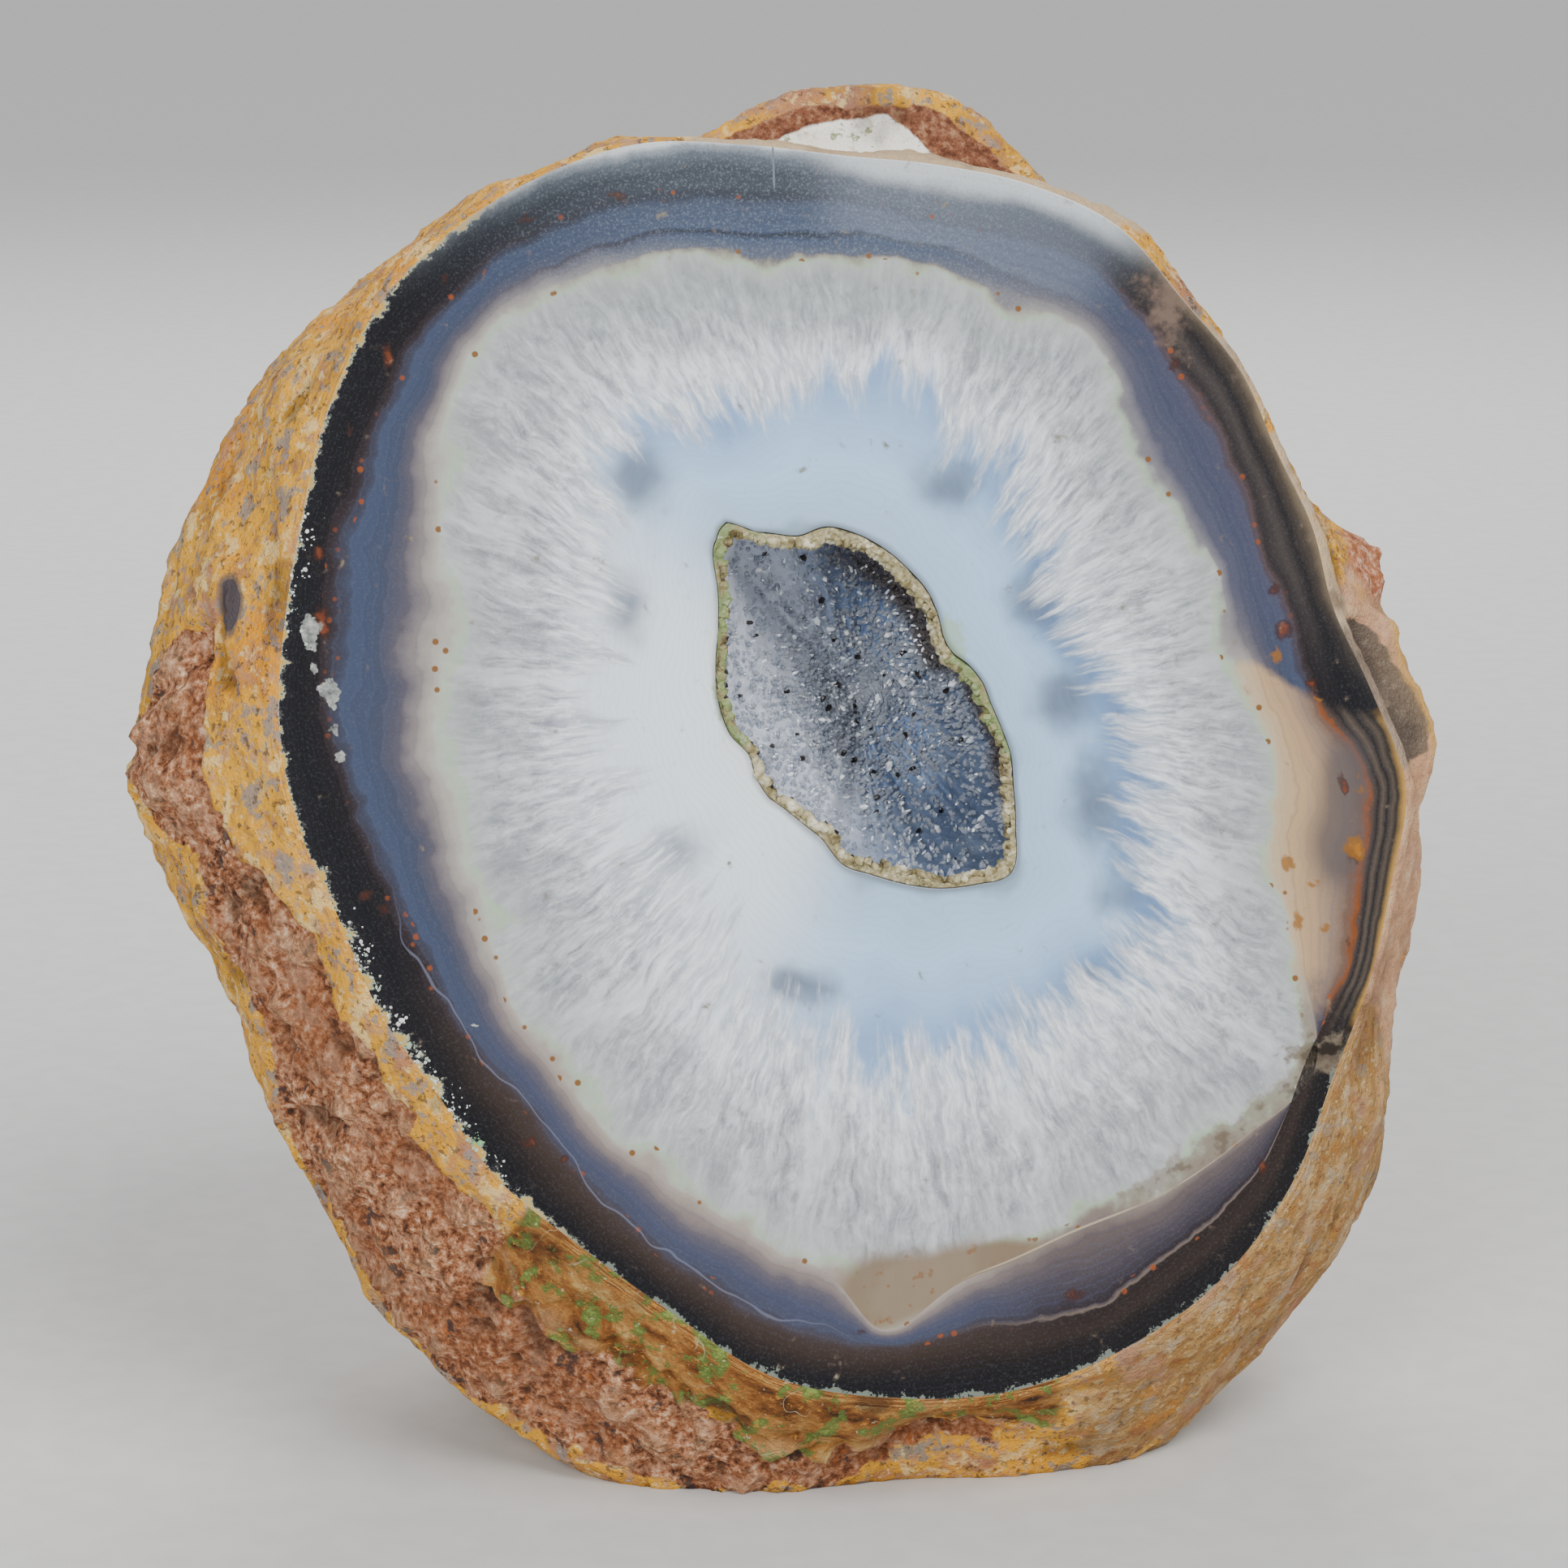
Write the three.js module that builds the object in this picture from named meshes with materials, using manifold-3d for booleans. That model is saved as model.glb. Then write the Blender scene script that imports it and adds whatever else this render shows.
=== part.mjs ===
// Half of an agate nodule, sawn open and polished. The stone is a rough weathered rind around banded
// agate, white quartz and milky chalcedony, all grown as one piece. The hollow in its middle is lined
// by a crust of small quartz crystals.
// Millimetres, +Z up. The polished face looks along -Y and leans back. The sawn foot lies on z = 0,
// and the origin is under the middle of the stone's bounding box.
import * as THREE from "three";
import { mergeVertices } from "three/addons/utils/BufferGeometryUtils.js";
import Module from "manifold-3d";

// Driving dimensions of the stone
const LEAN_DEG = 15; // how far the polished face leans back from upright
const FACE_CENTRE = new THREE.Vector3(3.7, -24.5, 68.7); // the centre that all the outlines turn around
const GIRTH_DEPTH = 18; // how far behind the face the stone is widest
const BODY_DEPTH = 64; // how far behind the face the back of the stone reaches
const BODY_FULLNESS = 2.2; // exponent of the rounded back: 2 is an ellipse, more is boxier
const BACK_SHIFT = [2, -2]; // how far right and up the back's end lies from the face's centre
const EDGE_BEVEL = 0.5; // the polished face's edge is eased by this much

// Radii of the outlines in the plane of the face, one every 10 degrees, anticlockwise from the right
const FACE_EDGE = [
  45.6, 43.1, 43.4, 43.6, 45.3, 46.3, 48.4, 48.6, 48.3, 48.5, 50.3, 52.9,
  54.1, 54.7, 54.5, 53.1, 51.5, 50.9, 50.9, 50.3, 49.3, 49.8, 50.1, 51.9,
  52.9, 55.1, 58.6, 60, 60.9, 60.5, 59.2, 56.5, 52.9, 51.1, 49.6, 49,
];
const GIRTH = [
  54, 51, 48, 48, 48.5, 50, 50.5, 50.5, 50.5, 50, 51, 53,
  55, 57, 57.5, 58.5, 59.5, 61.5, 62.5, 61.5, 60, 60.5, 62.5, 66,
  69, 71.5, 73, 72, 74.5, 73.5, 69.5, 67, 64, 57.5, 55, 53,
];
const HOLLOW_EDGE = [
  11.1, 10.6, 9.9, 9.1, 9.3, 10.4, 11.6, 12.6, 13.8, 15, 16, 16,
  17.8, 19.4, 16.3, 14.5, 13.7, 13.1, 12.6, 12, 11, 11.3, 11.5, 11.3,
  11.5, 12.1, 13.8, 14.5, 15.6, 16.9, 18.1, 19.2, 16.8, 14.8, 13.5, 12.1,
];
const RADII_STEP_DEG = 10;

// The hollow and its crystal crust
const HOLLOW_DEPTH = 21;
const HOLLOW_SHIFT = [2.5, 2]; // its floor lies right of and above its mouth, which undercuts that side
const HOLLOW_CORNER = { deg: 125, halfDeg: 5, rise: 1.1 }; // the sharp corner at its upper left
const HOLLOW_FULLNESS = 2.4;
const CRUST_GAP = 0.3; // between the stone and the crust
const CRUST_THICKNESS = 1.6;
const CRUST_BELOW_FACE = 0.2;
const CRYSTAL_STEEPNESS = [0.45, 1.05]; // least and most height of a crystal for each width of its foot

// Lumps and dents of the rind: right, up and depth of the centre, height, reach
const LUMPS = [
  { at: [44.5, 11.5, 7], height: 1.4, reach: 3.5 }, // reddish lump behind the right edge
  { at: [47.5, 1.6, 4], height: -1.2, reach: 3.5 }, // shell-shaped chip below it
  { at: [-60, -2, 13], height: 1.5, reach: 5 }, // brow above the bare patch on the left
  { at: [8, -67, 8], height: -4.5, reach: 7 }, // gap between the two front feet
  { at: [-46, 32, 28], height: 2.5, reach: 10 },
  { at: [28, 40, 38], height: 3.5, reach: 11 },
  { at: [-20, 30, 50], height: 3, reach: 12 },
  { at: [34, -10, 50], height: 4, reach: 13 },
  { at: [-34, -22, 52], height: 3, reach: 11 },
  { at: [4, 10, 60], height: -3.5, reach: 9 },
];
// Long swells of the rind: wavelength, amplitude, direction and phase of each sine
const SWELLS = [
  { wave: 31, rise: 0.8, along: [0.8, 0.5, 0.3], phase: 0.4 },
  { wave: 23, rise: 0.7, along: [-0.4, 0.8, 0.5], phase: 1.9 },
  { wave: 17, rise: 0.55, along: [0.6, -0.5, 0.6], phase: 3.1 },
  { wave: 13, rise: 0.45, along: [0.2, 0.7, -0.7], phase: 5.2 },
  { wave: 9.5, rise: 0.35, along: [-0.7, -0.3, 0.7], phase: 0.9 },
  { wave: 7.5, rise: 0.3, along: [0.5, 0.6, 0.6], phase: 2.6 },
];
const FRONT_CALM = 0.4; // share of the swells that reaches the flank, whose outline is known
const SWELL_FADE = 12; // the swells grow to their full height over this depth behind the girth
const EDGE_FADE = 3; // relief starts from nothing at the polished edge and is full at this depth
const BACK_TURN = 1.5; // how late the relief turns from sideways to backwards towards the back
const GRAIN = 0.35; // random roughness of each corner of the rind

// The lobe that stands up behind the top edge, its front broken off flat
const LOBE = { middleDeg: 86, halfDeg: 19, front: 5.2, step: 1.1, rise: 5.8, end: 30, fade: 12 };
// The bare patch where the yellow skin has come off: its inner and outer depth every 10 degrees
const BARE_PATCH = {
  fromDeg: 170,
  inner: [7, 6, 4.2, 2.8, 2.4, 2.2, 2.4, 3, 3.6, 4, 4.4, 4.8],
  outer: [9, 18, 12.5, 12.5, 12.5, 18, 20, 20, 14, 11, 9, 7],
  recess: 1.3,
};

// Grid of the mesh
const COLUMNS = 72;
const FLANK_DEPTHS = [EDGE_BEVEL, 1.6, 3.2, 5.2, 6.3, 8.2, 10.4, 12.8, 15.4, GIRTH_DEPTH];
const BACK_ROWS = 14;
const HOLLOW_ROWS = 8;
const CRYSTAL_ROWS = 12;
const ROW_SEED = 1000; // keeps the random numbers of one row apart from those of the next

const FULL_TURN = 2 * Math.PI;
const smooth = (low, high, value) => THREE.MathUtils.smoothstep(value, low, high);

// A repeatable random number from 0 to 1 for each pair of whole numbers
const chance = (column, row) => THREE.MathUtils.seededRandom(ROW_SEED * row + column);

// An outline's radius at any angle, as a smooth closed curve through its listed radii
function outlineRadius(radii, angle) {
  const place = THREE.MathUtils.radToDeg(angle) / RADII_STEP_DEG;
  const first = Math.floor(place);
  const part = place - first;
  const at = (i) => radii[((i % radii.length) + radii.length) % radii.length];
  const [a, b, c, d] = [at(first - 1), at(first), at(first + 1), at(first + 2)];
  const slope = c - a;
  const bend = 2 * a - 5 * b + 4 * c - d;
  const twist = 3 * (b - c) + d - a;
  return b + 0.5 * part * (slope + part * (bend + part * twist));
}

// Radius and sideways shift of the bare rind at one angle and depth behind the face
function rindProfile(angle, depth) {
  const edge = outlineRadius(FACE_EDGE, angle);
  const girth = outlineRadius(GIRTH, angle);
  if (depth <= GIRTH_DEPTH) {
    const radius = edge + (girth - edge) * Math.sin(((Math.PI / 2) * depth) / GIRTH_DEPTH);
    return { radius, shift: 0 };
  }
  const share = Math.min(1, (depth - GIRTH_DEPTH) / (BODY_DEPTH - GIRTH_DEPTH));
  const radius = girth * (1 - share ** BODY_FULLNESS) ** (1 / BODY_FULLNESS);
  return { radius, shift: share };
}

// How much the lobe stands out at one angle and depth
function lobeRise(angle, depth) {
  const away = THREE.MathUtils.radToDeg(angle) - LOBE.middleDeg;
  const across = 1 - (away / LOBE.halfDeg) ** 2;
  if (across <= 0) return 0;
  const along = smooth(LOBE.front, LOBE.front + LOBE.step, depth) *
    (1 - smooth(LOBE.end - LOBE.fade, LOBE.end, depth));
  return LOBE.rise * across * along;
}

// How much is missing where the skin has come off
function bareRecess(angle, depth) {
  const place = (THREE.MathUtils.radToDeg(angle) - BARE_PATCH.fromDeg) / RADII_STEP_DEG;
  const first = Math.floor(place);
  if (first < 0 || first > BARE_PATCH.inner.length - 2) return 0;
  const inner = THREE.MathUtils.lerp(BARE_PATCH.inner[first], BARE_PATCH.inner[first + 1], place - first);
  const outer = THREE.MathUtils.lerp(BARE_PATCH.outer[first], BARE_PATCH.outer[first + 1], place - first);
  return BARE_PATCH.recess * smooth(inner, inner + 1, depth) * (1 - smooth(outer, outer + 1, depth));
}

// Lumps and swells at a point of the rind
function relief(point, swellShare) {
  let height = 0;
  for (const { at, height: rise, reach } of LUMPS) {
    const gap = Math.hypot(point[0] - at[0], point[1] - at[1], point[2] - at[2]);
    height += rise * Math.exp(-((gap / reach) ** 2) / 2);
  }
  for (const { wave, rise, along, phase } of SWELLS) {
    const run = point[0] * along[0] + point[1] * along[1] + point[2] * along[2];
    height += swellShare * rise * Math.sin((FULL_TURN * run) / wave + phase);
  }
  return height;
}

// One point of the rind as right, up and depth from the face's centre
function rindPoint(angle, depth, roughness) {
  const { radius, shift } = rindProfile(angle, depth);
  const lobed = radius + lobeRise(angle, depth);
  const base = [
    lobed * Math.cos(angle) + BACK_SHIFT[0] * shift,
    lobed * Math.sin(angle) + BACK_SHIFT[1] * shift,
    depth,
  ];
  const turn = (Math.PI / 2) * shift ** BACK_TURN;
  const behindGirth = smooth(GIRTH_DEPTH, GIRTH_DEPTH + SWELL_FADE, depth);
  const swellShare = THREE.MathUtils.lerp(FRONT_CALM, 1, behindGirth);
  const fromEdge = smooth(0, EDGE_FADE, depth);
  const grain = GRAIN * (1 - shift) * (2 * roughness - 1);
  const height = fromEdge * (relief(base, swellShare) + grain) - bareRecess(angle, depth);
  return [
    base[0] + height * Math.cos(turn) * Math.cos(angle),
    base[1] + height * Math.cos(turn) * Math.sin(angle),
    base[2] + height * Math.sin(turn),
  ];
}

// One point of the hollow's wall, inset from the stone by some distance. Share 0 is the mouth.
function hollowPoint(angle, share, inset) {
  const turn = (Math.PI / 2) * share;
  const power = 2 / HOLLOW_FULLNESS;
  const fromCorner = Math.abs(THREE.MathUtils.radToDeg(angle) - HOLLOW_CORNER.deg);
  const corner = HOLLOW_CORNER.rise * Math.max(0, 1 - fromCorner / HOLLOW_CORNER.halfDeg);
  const mouth = outlineRadius(HOLLOW_EDGE, angle) + corner - inset;
  const radius = mouth * Math.cos(turn) ** power;
  const sink = Math.sin(turn) ** power;
  return [
    radius * Math.cos(angle) + HOLLOW_SHIFT[0] * sink,
    radius * Math.sin(angle) + HOLLOW_SHIFT[1] * sink,
    (HOLLOW_DEPTH - inset) * sink,
  ];
}

// From right, up and depth in the leaning face to the part's own frame
function place([right, up, depth]) {
  const lean = THREE.MathUtils.degToRad(LEAN_DEG);
  return new THREE.Vector3(
    FACE_CENTRE.x + right,
    FACE_CENTRE.y + up * Math.sin(lean) + depth * Math.cos(lean),
    FACE_CENTRE.z + up * Math.cos(lean) - depth * Math.sin(lean),
  );
}

// A closed body from rings of points, which run from one pole to the other. Where raise returns a
// point for a cell between two rings, the cell becomes four faces that meet there.
function bodyOfRings(startPole, rings, endPole, raise = () => null) {
  const points = [place(startPole), ...rings.flat().map(place), place(endPole)];
  const index = [];
  const at = (ring, column) => 1 + ring * COLUMNS + (column % COLUMNS);
  const last = rings.length - 1;
  for (let c = 0; c < COLUMNS; c++) {
    index.push(0, at(0, c + 1), at(0, c));
    index.push(1 + rings.length * COLUMNS, at(last, c), at(last, c + 1));
    for (let r = 0; r < last; r++) {
      const corners = [at(r, c), at(r, c + 1), at(r + 1, c + 1), at(r + 1, c)];
      const tip = raise(r, c, corners.map((i) => points[i]));
      if (tip) {
        const middle = points.push(tip) - 1;
        corners.forEach((corner, i) => index.push(corner, corners[(i + 1) % 4], middle));
      } else {
        index.push(corners[0], corners[1], corners[2], corners[0], corners[2], corners[3]);
      }
    }
  }
  return new THREE.BufferGeometry().setFromPoints(points).setIndex(index);
}

const angles = Array.from({ length: COLUMNS }, (_, c) => (FULL_TURN * c) / COLUMNS);
const ring = (pointAt) => angles.map(pointAt);

// The stone before its foot is sawn: back of the rind, flank, polished face, then the hollow
function stoneGeometry() {
  const rings = [];
  for (let row = BACK_ROWS; row > 0; row--) {
    const turn = ((Math.PI / 2) * (row - 0.5)) / BACK_ROWS;
    const depth = GIRTH_DEPTH + (BODY_DEPTH - GIRTH_DEPTH) * Math.sin(turn) ** (2 / BODY_FULLNESS);
    rings.push(ring((angle, c) => rindPoint(angle, depth, chance(c, row))));
  }
  for (const [row, depth] of [...FLANK_DEPTHS].reverse().entries()) {
    rings.push(ring((angle, c) => rindPoint(angle, depth, chance(c, row + BACK_ROWS + 1))));
  }
  rings.push(ring((angle) => {
    const radius = outlineRadius(FACE_EDGE, angle) - EDGE_BEVEL;
    return [radius * Math.cos(angle), radius * Math.sin(angle), 0];
  }));
  for (let row = 0; row < HOLLOW_ROWS; row++) {
    rings.push(ring((angle) => hollowPoint(angle, row / HOLLOW_ROWS, 0)));
  }
  return bodyOfRings(rindPoint(0, BODY_DEPTH, 0), rings, [...HOLLOW_SHIFT, HOLLOW_DEPTH]);
}

// The crust: its back follows the hollow's wall, its rim shows in the polished face, and each cell of
// its inside is a crystal with four flat faces
function crustGeometry() {
  const floor = [...HOLLOW_SHIFT, HOLLOW_DEPTH - CRUST_GAP];
  const rings = [];
  for (let row = HOLLOW_ROWS - 1; row > 0; row--) {
    rings.push(ring((angle) => hollowPoint(angle, row / HOLLOW_ROWS, CRUST_GAP)));
  }
  const rim = (inset) => ring((angle) => {
    const [right, up] = hollowPoint(angle, 0, inset);
    return [right, up, CRUST_BELOW_FACE];
  });
  rings.push(rim(CRUST_GAP), rim(CRUST_GAP + CRUST_THICKNESS));
  const firstCrystalRing = rings.length - 1;
  for (let row = 1; row < CRYSTAL_ROWS; row++) {
    rings.push(ring((angle) => hollowPoint(angle, row / CRYSTAL_ROWS, CRUST_GAP + CRUST_THICKNESS)));
  }
  const [low, high] = CRYSTAL_STEEPNESS;
  const raise = (row, column, corners) => {
    if (row < firstCrystalRing) return null;
    const middle = corners.reduce((sum, p) => sum.add(p), new THREE.Vector3()).multiplyScalar(1 / 4);
    const outward = new THREE.Vector3().crossVectors(
      corners[2].clone().sub(corners[0]),
      corners[3].clone().sub(corners[1]),
    ).normalize();
    const width = Math.min(corners[0].distanceTo(corners[1]), corners[3].distanceTo(corners[2]));
    const steepest = row === firstCrystalRing ? low : high;
    return middle.addScaledVector(outward, width * THREE.MathUtils.lerp(low, steepest, chance(column, row)));
  };
  const endPole = [...HOLLOW_SHIFT, HOLLOW_DEPTH - CRUST_GAP - CRUST_THICKNESS];
  return bodyOfRings(floor, rings, endPole, raise);
}

const wasm = await Module();
wasm.setup();

// A closed geometry as a solid that can be cut, and back
function solidOf(geometry) {
  const bare = geometry.clone();
  bare.deleteAttribute("normal");
  bare.deleteAttribute("uv");
  const merged = mergeVertices(bare, 1e-4);
  return new wasm.Manifold(new wasm.Mesh({
    numProp: 3,
    vertProperties: new Float32Array(merged.attributes.position.array),
    triVerts: new Uint32Array(merged.index.array),
  }));
}

function geometryOf(solid) {
  const mesh = solid.getMesh();
  return new THREE.BufferGeometry()
    .setAttribute("position", new THREE.BufferAttribute(mesh.vertProperties, 3))
    .setIndex(new THREE.BufferAttribute(mesh.triVerts, 1));
}

// Saws the stone off along z = 0, so that it stands on a flat foot
function sawFoot(solid) {
  const side = 4 * BODY_DEPTH;
  const below = new THREE.BoxGeometry(side, side, side).translate(0, 0, -side / 2);
  return solid.subtract(solidOf(below));
}

function namedMesh(name, geometry, color, roughness) {
  geometry.computeVertexNormals();
  const material = new THREE.MeshStandardMaterial({ color, roughness, metalness: 0, flatShading: true });
  const mesh = new THREE.Mesh(geometry, material);
  mesh.name = name;
  return mesh;
}

const stone = namedMesh("agate_stone", geometryOf(sawFoot(solidOf(stoneGeometry()))), 0xb98a4e, 0.8);
const crust = namedMesh("druse_crust", geometryOf(solidOf(crustGeometry())), 0x8b96a8, 0.25);

const druse = new THREE.Group();
druse.name = "agate_druse";
druse.add(stone, crust);

export default druse;
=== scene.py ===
import math
import bpy
import numpy as np
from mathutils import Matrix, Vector


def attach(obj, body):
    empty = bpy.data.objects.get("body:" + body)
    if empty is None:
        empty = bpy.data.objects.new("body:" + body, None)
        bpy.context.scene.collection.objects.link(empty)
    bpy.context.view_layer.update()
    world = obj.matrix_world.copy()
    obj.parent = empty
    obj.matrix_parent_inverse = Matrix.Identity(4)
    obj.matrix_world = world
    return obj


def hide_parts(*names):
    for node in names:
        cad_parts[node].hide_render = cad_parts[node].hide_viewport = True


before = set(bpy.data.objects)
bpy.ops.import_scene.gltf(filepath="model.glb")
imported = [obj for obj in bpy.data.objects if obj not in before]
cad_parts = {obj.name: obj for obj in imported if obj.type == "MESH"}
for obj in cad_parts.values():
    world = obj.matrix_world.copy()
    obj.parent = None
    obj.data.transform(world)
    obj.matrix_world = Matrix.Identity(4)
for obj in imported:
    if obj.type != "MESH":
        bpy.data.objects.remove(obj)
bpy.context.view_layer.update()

# The stone: one grown piece of weathered rind, agate, quartz and chalcedony.
# The nodule was sawn through and its face polished, and its foot was sawn so that the face leans back.
# Every outline is measured in that face, in millimetres: right, up and depth from its centre.
MM = 0.001
LEAN = math.radians(15)
FACE_CENTRE = np.array([3.7, -24.5, 68.7])
RIGHT = np.array([1.0, 0.0, 0.0])
UP_FACE = np.array([0.0, math.sin(LEAN), math.cos(LEAN)])
INTO_STONE = np.array([0.0, math.cos(LEAN), -math.sin(LEAN)])


def place(right, up, depth):
    """Face centre plus right, up and depth along the leaning face's own directions."""
    return (FACE_CENTRE + right[..., None] * RIGHT + up[..., None] * UP_FACE
            + depth[..., None] * INTO_STONE)


def outline(radii, angle):
    """Closed Catmull-Rom curve through radii listed evenly round the circle, at any angle in radians."""
    radii = np.asarray(radii, float)
    where = angle / (2 * np.pi) * len(radii)
    first = np.floor(where).astype(int)
    part = where - first
    a, b, c, d = (radii[(first + i) % len(radii)] for i in (-1, 0, 1, 2))
    return b + 0.5 * part * (c - a + part * (2 * a - 5 * b + 4 * c - d + part * (3 * (b - c) + d - a)))


def ease(low, high, value):
    """Smooth step from 0 at low to 1 at high: 3t squared minus 2t cubed."""
    t = np.clip((value - low) / (high - low), 0, 1)
    return t * t * (3 - 2 * t)


def lumps(points, size, seed):
    """Value noise from -1 to 1: random heights on a cubic lattice of that size, eased between corners."""
    grid = points / size + seed * 17.3
    cell = np.floor(grid).astype(np.int64)
    t = grid - cell
    t = t * t * (3 - 2 * t)
    total = np.zeros(points.shape[:-1])
    for corner in np.ndindex(2, 2, 2):
        i, j, k = (cell + np.array(corner)).transpose(-1, *range(points.ndim - 1))
        h = (i * 374761393 + j * 668265263 + k * 2147483647 + seed * 974634777) & 0xFFFFFFFF
        h = ((h ^ (h >> 13)) * 1274126177) & 0xFFFFFFFF
        height = ((h ^ (h >> 16)) & 0xFFFF) / 32767.5 - 1
        weight = np.prod([t[..., n] if corner[n] else 1 - t[..., n] for n in range(3)], axis=0)
        total += height * weight
    return total


def layered(points, layers):
    """Value noise of several sizes added up. Each layer is its height, its size and its seed."""
    return sum(rise * lumps(points, size, seed) for rise, size, seed in layers)


def mounds(points, marks):
    """Soft bells added up. Each mark is its place, its height and its reach, and falls off as e to minus
    the distance squared over twice the reach squared."""
    return sum(rise * np.exp(-((points - at) ** 2).sum(-1) / reach ** 2 / 2) for at, rise, reach in marks)


def between(angle_deg, start, end, soft):
    """1 from start to end degrees anticlockwise, easing to 0 within soft degrees round both ends."""
    middle, half = (start + end) / 2, (end - start) / 2
    away = np.abs((angle_deg - middle + 180) % 360 - 180)
    return 1 - ease(half - soft / 2, half + soft / 2, away)


def ring_faces(rows, columns):
    """Quads between neighbouring rings of a grid that closes round its columns."""
    r, c = np.meshgrid(np.arange(rows - 1), np.arange(columns), indexing="ij")
    nxt = (c + 1) % columns
    return np.stack([r * columns + c, r * columns + nxt, (r + 1) * columns + nxt, (r + 1) * columns + c],
                    -1).reshape(-1, 4)


def closed_rings(name, rings, start_pole, end_pole):
    """Mesh of stacked closed rings with a fan to a pole at each end, in metres."""
    rows, columns = rings.shape[:2]
    points = np.concatenate([rings.reshape(-1, 3), [start_pole], [end_pole]]) * MM
    quads = ring_faces(rows, columns).tolist()
    c = np.arange(columns)
    nxt = (c + 1) % columns
    last = (rows - 1) * columns
    fans = np.concatenate([np.stack([nxt, c, np.full(columns, rows * columns)], -1),
                           np.stack([last + c, last + nxt, np.full(columns, rows * columns + 1)], -1)])
    mesh = bpy.data.meshes.new(name)
    mesh.from_pydata(points.tolist(), [], quads + fans.tolist())
    piece = bpy.data.objects.new(name, mesh)
    bpy.context.collection.objects.link(piece)
    return piece


def paint(piece, name, values, poles):
    """Stores a number, or three, for each ring point and each pole, as an attribute that a material reads."""
    three = np.ndim(poles) == 2
    attribute = piece.data.attributes.new(name, "FLOAT_VECTOR" if three else "FLOAT", "POINT")
    spread = np.concatenate([values.reshape(-1, 3) if three else values.ravel(), poles])
    attribute.data.foreach_set("vector" if three else "value", spread.ravel().astype(np.float32))


# radii every 10 degrees anticlockwise from the right: the polished face's edge, the stone's widest
# outline, the borders between the coloured bands, and the hollow's mouth
FACE_EDGE = [45.6, 43.1, 43.4, 43.6, 45.3, 46.3, 48.4, 48.6, 48.3, 48.5, 50.3, 52.9,
             54.1, 54.7, 54.5, 53.1, 51.5, 50.9, 50.9, 50.3, 49.3, 49.8, 50.1, 51.9,
             52.9, 55.1, 58.6, 60.0, 60.9, 60.5, 59.2, 56.5, 52.9, 51.1, 49.6, 49.0]
GIRTH = [54, 51, 48, 48, 48.5, 50, 50.5, 50.5, 50.5, 50, 51, 53,
         55, 57, 57.5, 58.5, 59.5, 61.5, 62.5, 61.5, 60, 60.5, 62.5, 66,
         69, 71.5, 73, 72, 74.5, 73.5, 69.5, 67, 64, 57.5, 55, 53]
BLACK_BLUE = [40.0, 39.1, 38.6, 39.7, 40.8, 42.3, 44.0, 44.3, 43.8, 44.5, 45.9, 48.0,
              49.7, 50.5, 50.1, 48.9, 48.4, 47.1, 46.7, 45.1, 44.4, 44.8, 45.0, 45.8,
              48.5, 51.2, 53.8, 55.2, 54.9, 55.8, 54.5, 52.8, 49.5, 48.5, 46.5, 45.3]
BLUE_WHITE = [34.8, 33.3, 33.4, 33.3, 34.1, 36.5, 38.1, 38.1, 38.9, 39.1, 40.4, 42.6,
              44.1, 45.8, 44.8, 41.7, 38.2, 36.8, 37.0, 37.2, 37.3, 37.9, 40.0, 41.5,
              43.5, 45.0, 47.5, 49.3, 49.5, 48.7, 49.5, 50.0, 50.5, 42.5, 38.0, 37.0]
QUARTZ_MILKY = [22, 21, 19, 19.5, 20.5, 22, 24.5, 26, 28.5, 28, 27.8, 28,
                29, 30.5, 28.5, 24.5, 23.5, 22.8, 23, 21.8, 22.4, 22, 22.7, 22.3,
                25.3, 28, 28.2, 29, 31, 29.5, 31, 30.5, 32, 27.5, 25, 24]
HOLLOW_EDGE = [11.1, 10.6, 9.9, 9.1, 9.3, 10.4, 11.6, 12.6, 13.8, 15, 16, 16,
               17.8, 19.4, 16.3, 14.5, 13.7, 13.1, 12.6, 12, 11, 11.3, 11.5, 11.3,
               11.5, 12.1, 13.8, 14.5, 15.6, 16.9, 18.1, 19.2, 16.8, 14.8, 13.5, 12.1]
GIRTH_DEPTH, BODY_DEPTH, BODY_FULLNESS = 18.0, 64.0, 2.2
BACK_SHIFT = np.array([2.0, -2.0])
EDGE_BEVEL = 0.5
HOLLOW_DEPTH, HOLLOW_SHIFT, HOLLOW_FULLNESS = 21.0, np.array([2.5, 2.0]), 2.4
KNOB, KNOB_REACH = (46.0, 12.0, 6.0), 2.6
CHIP = dict(start=(-12, -5), end=(7, 9.5), lip=5.2, lip_width=0.9, lip_rise=2.1, sunk=1.2)
LOBE = dict(middle=86, half=19, front=5.2, step=1.1, rise=5.8, end=30, fade=12)
# broad forms of the rind: place, height and reach; then swells: length, height, direction and phase
LUMPS = [((44.5, 11.5, 7), 1.4, 3.5), ((47.5, 1.6, 4), -1.2, 3.5), ((-60, -2, 13), 1.5, 5),
         ((8, -67, 8), -4.5, 7), ((-46, 32, 28), 2.5, 10), ((28, 40, 38), 3.5, 11),
         ((-20, 30, 50), 3, 12), ((34, -10, 50), 4, 13), ((-34, -22, 52), 3, 11),
         ((4, 10, 60), -3.5, 9), ((42.5, 20, 12), -1.3, 5.5)]
SWELLS = [(31, 0.8, (0.8, 0.5, 0.3), 0.4), (23, 0.7, (-0.4, 0.8, 0.5), 1.9),
          (17, 0.55, (0.6, -0.5, 0.6), 3.1), (13, 0.45, (0.2, 0.7, -0.7), 5.2),
          (9.5, 0.35, (-0.7, -0.3, 0.7), 0.9), (7.5, 0.3, (0.5, 0.6, 0.6), 2.6)]
FRONT_CALM, SWELL_FADE, EDGE_FADE, BACK_TURN = 0.4, 12.0, 3.0, 1.5
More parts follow.
